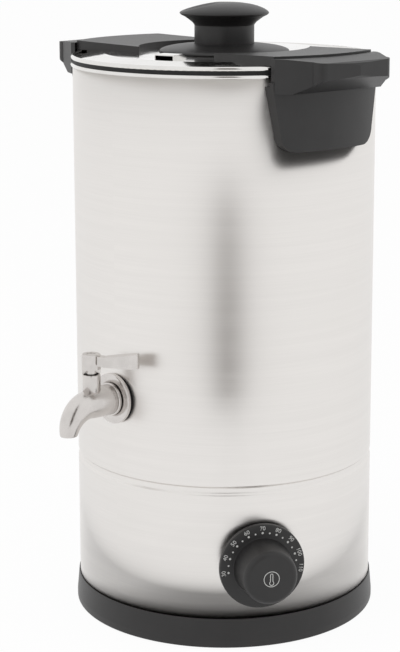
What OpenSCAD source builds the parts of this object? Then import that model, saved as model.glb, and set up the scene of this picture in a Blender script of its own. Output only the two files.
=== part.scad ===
// Candle wax melter: a round double-walled steel pot on a black base, with a
// quarter-turn tap, a temperature dial, two side handles and a lift-off lid.
// Millimetres, +Z up. The table is z = 0 and the tap points along -Y.

/* [Outer shell] */
// Outside diameter of the steel shell
shell_d = 220; // [200:1:240]
// Thickness of the shell sheet
shell_wall = 0.8; // [0.6:0.1:1.2]
// Height of the sealing line between pot and lid
seal_z = 408.8; // [380:1:440]
// Height of the middle of the pressed groove
groove_z = 117.2; // [105:1:125]
// Width of the pressed groove
groove_w = 6.5; // [5:0.5:10]
// Depth of the pressed groove
groove_depth = 1.5; // [0.5:0.1:2]

/* [Inner tank] */
// Gap between the shell and the tank
tank_gap = 5; // [4.5:0.1:7]
// Thickness of the tank sheet
tank_wall = 0.8; // [0.6:0.1:1.2]
// Height of the underside of the tank floor
tank_floor_z = 157; // [150:1:160]
// Radius of the corner between tank wall and floor
tank_corner_r = 8; // [4:1:10]
// Height of the rolled rim of the tank
rim_h = 2.8; // [2:0.1:4]
// How far the rolled rim stands out from the shell
rim_proud = 1.4; // [1:0.1:2]
// Thickness of the insulating sleeve round the tank
sleeve_t = 4.2; // [3:0.1:4.4]
// Height of the lower end of the sleeve
sleeve_z0 = 166; // [163:1:170]
// Height of the upper end of the sleeve
sleeve_z1 = 345; // [250:5:345]

/* [Heater] */
// Diameter of the aluminium plate under the tank
plate_d = 170; // [160:5:180]
// Thickness of the aluminium plate
plate_t = 6; // [4:0.5:8]
// Radius of the ring of the sheathed element
element_ring_r = 58; // [50:1:62]
// Diameter of the sheathed element
element_d = 8; // [6:0.5:10]
// Height of the flattened section of the element
element_h = 7; // [5:0.5:7]
// Gap between the two ends of the element, in degrees
element_gap = 40; // [30:5:60]
// Length of the element's turned-down ends
element_leg = 16; // [14:1:24]
// Radius of the circle of studs that hold the element
stud_ring_r = 74; // [70:1:76]
// Diameter of those studs
stud_d = 4; // [3:0.5:5]
// Thickness of the clamp ring and the heat shield
sheet_t = 1.2; // [0.8:0.1:2]
// Distance of the heat shield below the heater plate
shield_drop = 20; // [18:1:26]
// Diameter of the heat shield
shield_d = 186; // [170:2:196]
// Diameter of the thermal cutout
cutout_d = 16; // [14:1:20]
// Height of the thermal cutout
cutout_h = 9; // [7:0.5:12]

/* [Base] */
// Height of the top edge of the black base ring
base_h = 22.8; // [20:0.2:26]
// How far the base ring stands out from the shell at its top
base_lip = 0.9; // [0.6:0.1:1.5]
// How far the base ring flares out at its foot
base_flare = 2.4; // [1:0.1:4]
// Thickness of the inner wall of the base ring
base_wall = 2.2; // [1.6:0.1:3]
// How deep the shell sits in the groove of the base ring
shell_seat = 6; // [4:0.5:8]
// Clearance of the base ring above the table
ring_clear = 1.5; // [1:0.1:2]
// Height of the underside of the steel base plate
floor_z = 4; // [3.5:0.1:5]
// Thickness of the steel base plate
floor_t = 1.2; // [0.8:0.1:2]
// Distance of the screws in the base plate from the outside of the shell
base_screw_in = 11.5; // [11:0.5:13]
// Number of vent holes in the base plate
vent_count = 16; // [8:1:24]
// Diameter of each vent hole
vent_d = 6; // [4:0.5:8]
// Radius of the ring of vent holes
vent_ring_r = 62; // [56:1:70]
// Diameter of each rubber foot
foot_d = 20; // [16:1:22]
// Distance of the middle of each foot from the outside of the shell
foot_in = 26; // [25:1:28]

/* [Handles] */
// Direction of the handles and of the lid's wings, in degrees either side of the tap
handle_azimuth = 85; // [80:1:95]
// How far the handle lips reach out from the shell
handle_out = 30.5; // [22:0.5:35]
// Half the width of a handle's apron at its top
apron_half_top = 49.3; // [44:0.1:52]
// Half the width of a handle's apron at its foot
apron_half_foot = 43; // [38:0.5:44]
// Length of the apron below the sealing line
apron_drop = 53.7; // [45:0.5:60]
// Radius of the lower corners of the apron
apron_corner_r = 12; // [8:1:14]
// Thickness of the apron at its foot
apron_t_foot = 6.5; // [6.2:0.1:9]
// Thickness of the apron at its top
apron_t_top = 8; // [7.5:0.5:12]
// Half the width of the lip where it leaves the pot
lip_half_root = 48; // [44:0.5:50]
// Half the width of the lip's front edge
lip_half_front = 34; // [26:0.5:36]
// Radius of the lip's front corners
lip_corner_r = 7; // [4:0.5:9]
// Height of the lip's inner top edge above the sealing line
lip_top_in = 9.7; // [8:0.1:10]
// Height of the lip's front top edge above the sealing line
lip_top_front = 8; // [6:0.1:9]
// Height of the lip's front face
lip_face_h = 9.5; // [7:0.5:11]
// Distance below the sealing line where the lip meets the apron
lip_root_drop = 13.5; // [11:0.5:16]

/* [Lid] */
// Height of the lid's flat top above the sealing line
lid_rise = 5.7; // [5:0.1:7]
// Thickness of the lid sheet
lid_t = 0.8; // [0.6:0.1:1]
// Width of the sloping border of the lid
lid_border = 22.5; // [20:0.5:25]
// Height of the rubber seal
seal_h = 2.4; // [2:0.1:3]
// Height of the rolled edge of the lid
lid_edge_h = 3.2; // [2.6:0.1:3.6]
// Height of the lid wings' outer edge above the sealing line
wing_rise = 11.2; // [10.8:0.1:13]
// How much lower the lid wings are at their inner edge
wing_fall = 1.5; // [0:0.1:1.6]
// Half the width of a lid wing
wing_half = 45.5; // [40:0.5:46]
// Radius of the hollow inner edge of the wings
wing_inner_r = 62; // [56:1:66]
// How far the wings stand out from the shell
wing_out = 3.8; // [3.3:0.1:4.2]
// How far the wing's tab reaches below the sealing line
tab_drop = 7.5; // [6:0.5:9]
// Thickness of the wing's tab
tab_t = 1.8; // [1.4:0.1:1.9]
// Half the width of the wing's tab
tab_half = 40; // [30:1:42]
// Clearance between the wing's tab and the handle
tab_clear = 0.9; // [0.6:0.1:1.5]
// Width of the steam vent pressed into the lid
louvre_w = 16; // [10:1:20]
// Length of the steam vent
louvre_l = 16; // [10:0.5:18]
// Height of the steam vent
louvre_h = 2.4; // [1.5:0.1:3]
// Distance of the steam vent's opening from the lid's centre
louvre_r = 78.5; // [74:0.5:82]

/* [Lid knob] */
// Diameter of the knob's cap
cap_d = 64.8; // [56:0.2:72]
// Height of the top of the knob above the sealing line
knob_top = 41; // [36:0.5:46]
// Height of the cap's widest line above the sealing line
cap_mid = 33.6; // [30:0.2:34]
// Diameter of the knob's neck
neck_d = 43.4; // [38:0.2:46]
// Height of the top of the neck above the sealing line
neck_top = 25; // [22:0.5:26]
// Diameter of the brim under the neck
brim_d = 94.5; // [88:0.5:100]
// Thickness of the brim at its edge
brim_edge = 2.2; // [1.6:0.1:3]
// Thickness of the brim at the neck
brim_root = 5; // [4:0.1:6]
// Radius of the ball that cuts the dished face of the cap
dish_r = 60; // [50:1:80]

/* [Tap] */
// Height of the tap's axis
tap_z = 176.5; // [176:0.5:182]
// Diameter of the threaded tube through both walls
tap_thread_d = 16; // [14:0.5:17]
// Diameter of the round cover plate
flange_d = 36; // [32:0.5:40]
// Thickness of the round cover plate
flange_t = 3; // [2:0.1:4]
// Distance of the cover plate from the shell
flange_gap = 1.5; // [1.5:0.1:3]
// Diameter of the tap's collar
collar_d = 23.5; // [23:0.1:26]
// Length of the collar
collar_l = 2.4; // [2:0.1:4]
// Radius of the tap's barrel at the collar
barrel_r = 10.9; // [10:0.1:11.4]
// Radius of the spout at its mouth
mouth_r = 6.1; // [5.8:0.1:7]
// Radius of the bend of the spout
bend_r = 19; // [17:0.5:22]
// Distance of the spout's mouth from the shell
spout_out = 44; // [42:0.5:48]
// Radius of the bore at the mouth
mouth_bore_r = 4.8; // [4:0.1:5]
// Distance of the tap's tower from the shell
tower_out = 22.5; // [21:0.5:24]
// Radius of the tower
tower_r = 6.4; // [6.2:0.1:7.5]
// Height of the top of the tower
tower_top = 198; // [196:0.5:200]
// Radius of the turning plug
plug_r = 5.2; // [5:0.1:5.3]
// Radius of the passage through tap and plug
passage_r = 3.8; // [3:0.1:4]
// Radius of the lever's stem
stem_r = 2.6; // [2:0.1:3]
// Radius of the lever's hub
hub_r = 6.8; // [6.6:0.1:8]
// Height of the lever's hub
hub_h = 14; // [12:0.5:16]
// Length of the lever from its hub's axis
lever_l = 37; // [32:0.5:40]
// Width of the lever
lever_w = 9; // [7:0.5:10]
// Height of the lever at its hub
lever_h_hub = 6.8; // [5:0.2:8]
// Height of the lever at its end
lever_h_end = 10.6; // [8:0.2:12]
// How far the lever's end rises
lever_rise = 3; // [0:0.5:4]
// Direction of the open lever, in degrees from +X towards +Y
lever_angle = 21; // [10:1:28]
// Turn of the lever between open and shut, in degrees
lever_turn = 90; // [60:5:100]

/* [Dial] */
// Direction of the dial, in degrees from the tap
dial_azimuth = 58; // [50:1:70]
// Height of the dial's centre
dial_z = 62.6; // [58:0.2:70]
// Diameter of the dial's numbered skirt
skirt_d = 61.5; // [56:0.5:66]
// Thickness of the skirt
skirt_t = 4; // [3.5:0.1:5]
// Gap between skirt and shell
dial_gap = 1; // [0.8:0.1:2]
// Diameter of the grip at the skirt
grip_d_root = 42; // [38:0.5:46]
// Diameter of the grip at its front
grip_d_front = 38; // [34:0.5:44]
// Length of the grip in front of the skirt
grip_l = 25; // [20:0.5:30]
// Rounding of the grip's front edge
grip_round = 4; // [2:0.5:6]
// Width and height of the thermostat's case
case_w = 34; // [30:1:36]
// Depth of the thermostat's case
case_l = 22; // [18:1:28]
// Radius of the thermostat's shaft
shaft_r = 3; // [2.5:0.1:3.5]
// Distance of the thermostat's screws from its shaft
case_screw_x = 14; // [12:0.5:15]

/* [Power inlet] */
// Height of the middle of the inlet
inlet_z = 62; // [55:1:80]
// Width of the inlet's flange
inlet_w = 50; // [48:1:54]
// Height of the inlet's flange
inlet_h = 24; // [22:0.5:28]
// Thickness of the inlet's flange
inlet_flange_t = 2.5; // [2:0.1:4]
// Distance from the middle to each inlet screw
inlet_screw_x = 20; // [19:0.5:21]
// How far the curved bezel stands out from the shell
bezel_proud = 4; // [3:0.5:8]

/* [Fasteners and fits] */
// Diameter of the small screws
screw_d = 4; // [3:0.5:4.5]
// Diameter of the small screws' heads
head_d = 7; // [6:0.5:8]
// Height of the small screws' heads
head_h = 2; // [1.6:0.1:2.4]
// Clearance of a screw in its hole, on the radius
hole_clear = 0.2; // [0.1:0.05:0.4]
// Running clearance of a shaft in its bearing, on the radius
run_clear = 0.05; // [0.02:0.01:0.1]
// Clearance of a part seated in another, on the radius
seat_clear = 0.05; // [0.02:0.01:0.2]

/* [Hidden] */
$fn = 72;

eps = 0.5;                                  // overrun of a cutter past the face it cuts
shell_r = shell_d / 2;
shell_in = shell_r - shell_wall;
base_screw_r = shell_r - base_screw_in;
foot_ring_r = shell_r - foot_in;
handle_sides = [handle_azimuth, 360 - handle_azimuth];
handle_reach = shell_r + handle_out;
wing_outer_r = shell_r + wing_out;
lid_flat_r = shell_r - lid_border;
spout_reach = shell_r + spout_out;
tower_u = shell_r + tower_out;
rim_top = seal_z - seal_h / 2;              // top of the tank's rolled rim
shell_top = rim_top - rim_h;
shell_foot = base_h - shell_seat;
tank_r = shell_in - tank_gap;
tank_in = tank_r - tank_wall;
rim_r = shell_r + rim_proud;
ring_gap = 0.1;                             // base ring to the shell it holds
ring_top_r = shell_r + base_lip;
ring_foot_r = shell_r + base_flare;
ring_in = shell_in - ring_gap - base_wall;
ledge_t = 3;                                // inner ledge that the base plate is screwed to
ledge_z = floor_z + floor_t;
ledge_in = base_screw_r - 5;
boss_h = 8;                                 // height of the screw bosses on the ledge
plate_bottom = tank_floor_z - plate_t;
element_bottom = plate_bottom - element_h;
clamp_z = element_bottom - sheet_t;
shield_z = plate_bottom - shield_drop;
nut_h = 3;
stud_len = shield_drop + sheet_t + nut_h + 1;
leg_angle = element_gap / 2;                // each end of the element, from the -X direction
tap_front = shell_r + flange_gap + flange_t;
barrel_u = tap_front + collar_l;
bend_u = spout_reach - bend_r;
mouth_z = tap_z - bend_r;
inner_washer_t = 3;
lock_nut_t = 4.5;
lock_nut_w = 24;                            // across the flats
inner_washer_r = 13;
// where a flat washer meets the round wall of the tank with its two sides
tank_flat_u = sqrt(pow(tank_in, 2) - pow(inner_washer_r, 2)) - 0.02;
nut_u = tank_flat_u - inner_washer_t;
thread_u = nut_u - lock_nut_t - 2;
plug_z0 = tap_z - 8;
plug_z1 = tap_z + 7;
bonnet_h = 7;
hub_z = tower_top + 0.4;
hub_recess = 3.4;                           // depth of the notch that holds the stop
stop_w = 3;
lid_top = seal_z + lid_rise;
lid_under = lid_top - lid_t;
lid_bead_r = lid_edge_h / 2;
lid_edge_r = shell_r - 0.4;                 // centre of the lid's rolled edge
lid_seat = seal_z + seal_h / 2;
brim_z = lid_top;
wing_screw_in = 12.5;                       // from the edge of the lid's flat to the wings' screws
wing_screw_x = lid_flat_r - wing_screw_in;
wing_screw_y = 22;
dial_back = shell_r + dial_gap;
skirt_front = dial_back + skirt_t;
skirt_recess = 1.6;
case_front = shell_in - 5.5;
bracket_t = 1.5;
shaft_end = skirt_front + 14;
bezel_front = shell_r + bezel_proud;
inlet_front = bezel_front + inlet_flange_t;
inlet_body_w = 27;
inlet_body_h = 20;
inlet_depth = 26;
socket_w = 23;
socket_h = 16;
socket_depth = 18;
pin_tip = inlet_front - 6;
handle_screw_step = 12;                     // degrees either side of the handle's middle
handle_screw_z = seal_z - 36;
cutout_ear = cutout_d / 2 + 7;
cutout_tab_x = 4;                           // distance of each terminal tab from the middle
cutout_tab_t = 0.8;
cutout_tab_l = 7;
foot_stem_r = 4;
vent_turn = 180 / vent_count;
block_x = -30;
block_y = 24;
block_w = 38;
block_l = 20;
block_h = 14;
block_pitch = 12;
case_tab_x = 10;
wire_r = 1.2;
pin_step = 7;
pin_up = 4;
screw_past = 5.5;                           // length of a screw past the sheet that it holds
pin_back = inlet_front - inlet_depth - 7;
bulb_r = 3;
bulb_l = 60;
bulb_u = stud_ring_r;
bulb_z = plate_bottom - bulb_r;
stop_angle = -70;
mouth_bore_l = 6;
louvre_turn = 12.5;
louvre_slope = 4;                           // length of the hood's sloping back
louvre_gap = 0.3;
dish_turn = -45;                            // the dish faces left of the tap
bulb_bend = bulb_l / 2 + 8;                  // where the bulb's fine tube turns down, from the bulb's middle
leg_x = -element_ring_r * cos(leg_angle);
leg_y = element_ring_r * sin(leg_angle);
// holes for the element's two ends, the cutout's wires and the bulb's fine tube: x, y, diameter
shield_holes = [[leg_x, -leg_y, 12], [leg_x, leg_y, 12], [0, 0, 16],
    [bulb_bend * cos(dial_azimuth) + bulb_u * sin(dial_azimuth),
        bulb_bend * sin(dial_azimuth) - bulb_u * cos(dial_azimuth), 8]];
// the overall box is centred on the origin, so the pot's axis lies a little behind it
tap_far = spout_reach + mouth_r + 0.3;       // the outermost line of the bend
axis_y = (tap_far - inlet_front - head_h) / 2;

// moves a piece drawn about the pot's axis to its place
module placed() {
    translate([0, axis_y, 0]) children();
}

// local +Z points outwards at this azimuth from the tap, local +Y up, local X sideways
module outward(azimuth, dist, z) {
    rotate([0, 0, azimuth]) translate([0, -dist, z]) rotate([90, 0, 0]) children();
}

module tube(r_out, r_in, z0, z1) {
    difference() {
        translate([0, 0, z0]) cylinder(r = r_out, h = z1 - z0);
        translate([0, 0, z0 - eps]) cylinder(r = r_in, h = z1 - z0 + 2 * eps);
    }
}

// pan-head screw along local +Z: shank above z = 0, head below it
module screw(len, d = screw_d, hd = head_d, hh = head_h) {
    cylinder(d = d, h = len);
    translate([0, 0, -hh * 0.6]) cylinder(d = hd, h = hh * 0.6);
    translate([0, 0, -hh]) cylinder(d1 = hd * 0.7, d2 = hd, h = hh * 0.4);
}

module hex_nut(w, bore_d, h) {
    difference() {
        cylinder(d = w / cos(30), h = h, $fn = 6);
        translate([0, 0, -eps]) cylinder(d = bore_d, h = h + 2 * eps);
    }
}

function unit(v) = v / norm(v);

// direction of a route at its point k: the mean of the stretches that meet there
function heading(route, k) = unit(
    (k > 0 ? unit(route[k] - route[k - 1]) : [0, 0, 0])
    + (k < len(route) - 1 ? unit(route[k + 1] - route[k]) : [0, 0, 0]));

// a skin of eight sides swept along a route, with a mitre at each bend
module wire(route, r) {
    n = 8;
    last = len(route) - 1;
    points = [for (k = [0 : last]) let (t = heading(route, k), u = unit(cross(t, [0.31, 0.17, 0.94])),
            w = cross(t, u))
        for (i = [0 : n - 1]) route[k] + r * (cos(360 * i / n) * u + sin(360 * i / n) * w)];
    polyhedron(points = points, convexity = 6, faces = concat(
        [[for (i = [0 : n - 1]) i]],
        [for (k = [0 : last - 1], i = [0 : n - 1]) let (j = (i + 1) % n)
            [k * n + i, (k + 1) * n + i, (k + 1) * n + j, k * n + j]],
        [[for (i = [0 : n - 1]) last * n + n - 1 - i]]));
}

// ---- outer shell and tank ----

module outer_shell() placed() color([0.82, 0.81, 0.80]) {
    g0 = groove_z - groove_w / 2;
    g1 = groove_z + groove_w / 2;
    difference() {
        rotate_extrude() polygon([
            [shell_r, shell_foot], [shell_r, g0], [shell_r - groove_depth, g0 + groove_depth],
            [shell_r - groove_depth, g1 - groove_depth], [shell_r, g1], [shell_r, shell_top],
            [shell_in, shell_top], [shell_in, g1 + shell_wall / 2],
            [shell_in - groove_depth, g1 - groove_depth + shell_wall / 2],
            [shell_in - groove_depth, g0 + groove_depth - shell_wall / 2],
            [shell_in, g0 - shell_wall / 2], [shell_in, shell_foot]]);
        outward(0, tank_r, tap_z) cylinder(d = tap_thread_d + 2 * hole_clear, h = 20);
        dial_holes();
        inlet_cut();
        outward(180, shell_r - 5, inlet_z) inlet_screw_holes(screw_d / 2 + hole_clear, 10);
        handle_screw_holes(screw_d / 2 + hole_clear);
    }
}

module dial_holes() {
    outward(dial_azimuth, shell_in - 5, dial_z) {
        cylinder(r = neck_r() + hole_clear, h = 10);
        for (s = [-1, 1]) translate([s * case_screw_x, 0, 0])
            cylinder(r = screw_d / 2 + hole_clear, h = 10);
    }
}

module handle_screw_holes(r) {
    for (side = handle_sides, s = [-1, 1])
        outward(side + s * handle_screw_step, shell_in - 2, handle_screw_z) cylinder(r = r, h = 4);
}

module inner_tank() placed() color([0.86, 0.85, 0.84]) {
    difference() {
        rotate_extrude() {
            difference() {
                union() {
                    translate([0, tank_floor_z]) square([tank_r - tank_corner_r, shell_top - tank_floor_z]);
                    translate([0, tank_floor_z + tank_corner_r])
                        square([tank_r, rim_top - tank_floor_z - tank_corner_r]);
                    intersection() {
                        translate([tank_r - tank_corner_r, tank_floor_z + tank_corner_r])
                            circle(r = tank_corner_r);
                        translate([0, tank_floor_z]) square([tank_r, shell_top - tank_floor_z]);
                    }
                }
                translate([-eps, tank_floor_z + tank_corner_r]) square([tank_in + eps, seal_z]);
                translate([-eps, tank_floor_z + tank_wall])
                    square([tank_r - tank_corner_r + eps, tank_corner_r]);
                intersection() {
                    translate([tank_r - tank_corner_r, tank_floor_z + tank_corner_r])
                        circle(r = tank_corner_r - tank_wall);
                    translate([0, tank_floor_z]) square([tank_r, 100]);
                }
            }
            translate([tank_in, shell_top]) square([rim_r - rim_h / 2 - tank_in, rim_h]);
            translate([rim_r - rim_h / 2, shell_top + rim_h / 2]) circle(d = rim_h);
        }
        outward(0, tank_in - 5, tap_z) cylinder(d = tap_thread_d + 2 * hole_clear, h = 10);
    }
}

module insulation_sleeve() placed() color([0.93, 0.92, 0.88]) {
    difference() {
        tube(tank_r + 0.3 + sleeve_t, tank_r + 0.3, sleeve_z0, sleeve_z1);
        outward(0, tank_r - 2, tap_z) cylinder(d = tap_thread_d + 6, h = 12);
    }
}

// ---- heater ----

module heater_plate() placed() color([0.75, 0.75, 0.77]) {
    translate([0, 0, plate_bottom]) cylinder(d = plate_d, h = plate_t);
}

module heating_element() placed() color([0.35, 0.33, 0.32]) {
    sweep = 360 - element_gap;
    translate([0, 0, plate_bottom - element_h / 2]) rotate([0, 0, 180 + leg_angle])
        rotate_extrude(angle = sweep) translate([element_ring_r, 0]) intersection() {
            circle(d = element_d);
            square([element_d, element_h], center = true);
        }
    for (s = [-1, 1]) rotate([0, 0, 180 + s * leg_angle]) translate([element_ring_r, 0, 0])
        translate([0, 0, element_bottom - element_leg + element_h])
            cylinder(d = element_d - 2, h = element_leg);
}

module stud_places() {
    for (a = [30, 150, 270]) rotate([0, 0, a]) translate([stud_ring_r, 0, 0]) children();
}

module element_clamp() placed() color([0.68, 0.68, 0.69]) {
    half = element_d / 2 + 2;
    difference() {
        union() {
            tube(element_ring_r + half, element_ring_r - half, clamp_z, element_bottom);
            stud_places() translate([element_ring_r + half - 1 - stud_ring_r, -6, clamp_z])
                cube([stud_ring_r - element_ring_r - half + 7, 12, sheet_t]);
        }
        stud_places() translate([0, 0, clamp_z - eps])
            cylinder(d = stud_d + 2 * hole_clear, h = sheet_t + 2 * eps);
        translate([-element_ring_r - half - 2, -leg_span(), clamp_z - eps])
            cube([2 * half + 16, 2 * leg_span(), sheet_t + 2 * eps]);
    }
}

// half the distance across both ends of the element, with room round them
function leg_span() = element_ring_r * sin(leg_angle) + element_d / 2 + 1;

module heater_studs() placed() color([0.7, 0.68, 0.6]) {
    stud_places() translate([0, 0, plate_bottom - stud_len]) cylinder(d = stud_d, h = stud_len);
}

module stud_nuts() placed() color([0.7, 0.68, 0.6]) {
    bore = stud_d + 2 * seat_clear;
    stud_places() {
        translate([0, 0, clamp_z - nut_h]) hex_nut(7, bore, nut_h);
        translate([0, 0, shield_z]) hex_nut(7, bore, nut_h);
        translate([0, 0, shield_z - sheet_t - nut_h]) hex_nut(7, bore, nut_h);
    }
}

module heat_shield() placed() color([0.72, 0.72, 0.74]) {
    difference() {
        translate([0, 0, shield_z - sheet_t]) cylinder(d = shield_d, h = sheet_t);
        translate([0, 0, -eps]) {
            stud_places() translate([0, 0, shield_z - sheet_t])
                cylinder(d = stud_d + 2 * hole_clear, h = sheet_t + 2 * eps);
            for (p = shield_holes) translate([p[0], p[1], shield_z - sheet_t])
                cylinder(d = p[2], h = sheet_t + 2 * eps);
        }
    }
}

module thermal_cutout() placed() color([0.55, 0.5, 0.42]) {
    translate([0, 0, plate_bottom - cutout_h]) {
        cylinder(d = cutout_d, h = cutout_h);
        for (s = [-1, 1]) translate([s * cutout_tab_x - cutout_tab_t / 2, -3, -cutout_tab_l])
            cube([cutout_tab_t, 6, cutout_tab_l + eps]);
    }
    difference() {
        translate([-6, -cutout_ear, plate_bottom - 1]) cube([12, 2 * cutout_ear, 1]);
        for (s = [-1, 1]) translate([0, s * (cutout_ear - 4), plate_bottom - 1 - eps])
            cylinder(d = screw_d - 1 + 2 * hole_clear, h = 1 + 2 * eps);
    }
}

module cutout_screws() placed() color([0.7, 0.7, 0.7]) {
    for (s = [-1, 1]) translate([0, s * (cutout_ear - 4), plate_bottom - 1]) screw(1, screw_d - 1, 5.5, 1.6);
}

// ---- base ----

module base_ring() placed() color([0.17, 0.17, 0.17]) {
    mid = base_h * 0.3;
    difference() {
        union() {
            rotate_extrude() difference() {
                polygon([
                    [ring_in, ring_clear + 1], [ring_in + 1, ring_clear], [ring_foot_r - 1.2, ring_clear],
                    [ring_foot_r, ring_clear + 1.2], [ring_foot_r, mid], [ring_top_r, base_h - 0.6],
                    [ring_top_r - 0.5, base_h], [ring_in, base_h]]);
                translate([shell_in - ring_gap, shell_foot])
                    square([shell_wall + 2 * ring_gap, shell_seat + eps]);
            }
            tube(ring_in + 0.5, ledge_in, ledge_z, ledge_z + ledge_t);
            base_screw_places() translate([0, 0, ledge_z]) cylinder(d = 9, h = boss_h);
        }
        base_screw_places() translate([0, 0, ledge_z - eps])
            cylinder(r = screw_d / 2 + seat_clear, h = boss_h - 1);
    }
}

module base_screw_places() {
    for (a = [0 : 90 : 270]) rotate([0, 0, a]) translate([base_screw_r, 0, 0]) children();
}

module foot_places() {
    for (a = [45 : 90 : 315]) rotate([0, 0, a]) translate([foot_ring_r, 0, 0]) children();
}

module base_plate() placed() color([0.62, 0.62, 0.63]) {
    difference() {
        translate([0, 0, floor_z]) cylinder(r = ring_in - 0.4, h = floor_t);
        translate([0, 0, floor_z - eps]) {
            base_screw_places() cylinder(r = screw_d / 2 + hole_clear, h = floor_t + 2 * eps);
            foot_places() cylinder(r = foot_stem_r + hole_clear, h = floor_t + 2 * eps);
            for (i = [0 : vent_count - 1]) rotate([0, 0, i * 360 / vent_count + vent_turn])
                translate([vent_ring_r, 0, 0]) cylinder(d = vent_d, h = floor_t + 2 * eps);
        }
    }
}

module base_screws() placed() color([0.7, 0.7, 0.7]) {
    base_screw_places() translate([0, 0, floor_z]) screw(floor_t + boss_h - 2);
}

module rubber_feet() placed() color([0.12, 0.12, 0.12]) {
    foot_places() {
        cylinder(d1 = foot_d - 1.6, d2 = foot_d, h = 1);
        translate([0, 0, 1]) cylinder(d = foot_d, h = floor_z - 1);
        cylinder(r = foot_stem_r, h = floor_z + floor_t + 0.1);
        translate([0, 0, floor_z + floor_t]) cylinder(r1 = foot_stem_r + 1, r2 = foot_stem_r - 0.5, h = 2.5);
    }
}

module terminal_block() placed() color([0.9, 0.88, 0.82]) {
    translate([block_x, block_y, floor_z + floor_t]) difference() {
        translate([-block_w / 2, -block_l / 2, 0]) cube([block_w, block_l, block_h]);
        for (i = [-1 : 1], s = [-1, 1]) translate([i * block_pitch, s * 4, block_h - 5])
            cylinder(r = 1.8 + seat_clear, h = 5 + eps);
    }
}

module terminal_screws() placed() color([0.8, 0.66, 0.3]) {
    translate([block_x, block_y, floor_z + floor_t])
        for (i = [-1 : 1], s = [-1, 1]) translate([i * block_pitch, s * 4, block_h - 5])
            cylinder(r = 1.8, h = 4.2);
}

module wiring() placed() color([0.75, 0.2, 0.15]) {
    block_z = floor_z + floor_t + block_h / 2;
    front = block_y - block_l / 2;
    back = block_y + block_l / 2;
    leg_z = element_bottom - element_leg + element_h;
    tab_z = plate_bottom - cutout_h - cutout_tab_l;
    run_z = shield_z - 24;                  // height at which the wires cross under the heat shield
    // three leads from the inlet's tabs to the block
    for (i = [-1 : 1]) {
        top = inlet_z + (i == 0 ? pin_up : 0);
        wire([[i * pin_step, pin_back, top], [i * pin_step, pin_back - 12, top],
            [block_x + i * block_pitch, back + 14, block_z], [block_x + i * block_pitch, back, block_z]], wire_r);
    }
    // block to element, element to cutout, cutout to thermostat, thermostat to block
    wire([[block_x - block_pitch, front, block_z], [block_x - block_pitch, front - 20, block_z],
        [leg_x, -leg_y, run_z], [leg_x, -leg_y, leg_z]], wire_r);
    wire([[leg_x, leg_y, leg_z], [leg_x, leg_y, run_z], [-cutout_tab_x, 0, run_z], [-cutout_tab_x, 0, tab_z]],
        wire_r);
    wire([[cutout_tab_x, 0, tab_z], [cutout_tab_x, 0, run_z], case_tab(case_tab_x, 14), case_tab(case_tab_x, 0)],
        wire_r);
    wire([case_tab(-case_tab_x, 0), case_tab(-case_tab_x, 14), [block_x + block_pitch, front - 28, block_z],
        [block_x + block_pitch, front, block_z]], wire_r);
}

// a point behind the thermostat's case, at this distance sideways and inwards from the middle of its back
function case_tab(side, inwards) = let (u = case_front - case_l - inwards)
    [side * cos(dial_azimuth) + u * sin(dial_azimuth), side * sin(dial_azimuth) - u * cos(dial_azimuth), dial_z];

// ---- handles ----

// drawn towards -Y with z = 0 at the sealing line, then turned to its side of the pot
module handle(side) rotate([0, 0, side]) translate([0, 0, seal_z]) {
    reach = handle_reach;
    top_r = shell_r + apron_t_top;
    foot_r = shell_r + apron_t_foot;
    pocket_r = wing_outer_r + tab_clear;
    pocket_z = -tab_drop - tab_clear - 0.6;
    shoulder_z = shell_top - seal_z - 2;
    difference() {
        union() {
            // the apron: a slice of a slightly tapered ring, cut to its outline
            intersection() {
                translate([0, 0, -apron_drop]) cylinder(r1 = foot_r, r2 = top_r, h = apron_drop + lip_top_in);
                rotate([90, 0, 0]) linear_extrude(height = reach) apron_outline();
                translate([0, 0, -apron_drop - eps])
                    cylinder(r = reach, h = apron_drop + shoulder_z + eps);
            }
            // the lip: its outline from above, cut to its outline from the side
            intersection() {
                translate([0, 0, -lip_root_drop - eps])
                    linear_extrude(height = lip_root_drop + lip_top_in + 2 * eps) lip_plan();
                rotate([90, 0, 90]) linear_extrude(height = 2 * lip_half_root + 2 * eps, center = true) lip_side();
            }
        }
        translate([0, 0, -apron_drop - eps]) cylinder(r = shell_r + seat_clear, h = apron_drop + 40);
        translate([0, 0, pocket_z]) cylinder(r = pocket_r, h = 40);
        for (s = [-1, 1]) rotate([0, 0, s * handle_screw_step])
            translate([0, -shell_r, handle_screw_z - seal_z]) rotate([90, 0, 0])
                cylinder(r = screw_d / 2 + seat_clear, h = 5.2);
    }
}

module apron_outline() {
    c = apron_corner_r;
    x0 = apron_half_foot - c;
    y0 = -apron_drop + c;
    polygon([[-apron_half_top, 20], [-apron_half_top, -6], [-apron_half_foot, y0], [-x0, y0], [-x0, -apron_drop],
        [x0, -apron_drop], [x0, y0], [apron_half_foot, y0], [apron_half_top, -6], [apron_half_top, 20]]);
    for (s = [-1, 1]) translate([s * x0, y0]) circle(r = c);
}

module lip_plan() {
    c = lip_corner_r;
    f = handle_reach;
    bow = 2.5;                              // the front edge bows out towards its middle
    x1 = lip_half_front - c;
    inside = shell_r / 2;                   // well inside the pot, where the lip is cut off
    intersection() {
        union() {
            polygon([[-lip_half_root, -inside], [-lip_half_root, -shell_r + 2], [-lip_half_front - 0.6, -f + c + 4],
                [-x1, -f + bow], [0, -f], [x1, -f + bow], [lip_half_front + 0.6, -f + c + 4],
                [lip_half_root, -shell_r + 2], [lip_half_root, -inside]]);
            for (s = [-1, 1]) translate([s * x1, -f + c + bow]) circle(r = c);
        }
        translate([-lip_half_root - eps, -f]) square([2 * lip_half_root + 2 * eps, f]);
    }
}

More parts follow.
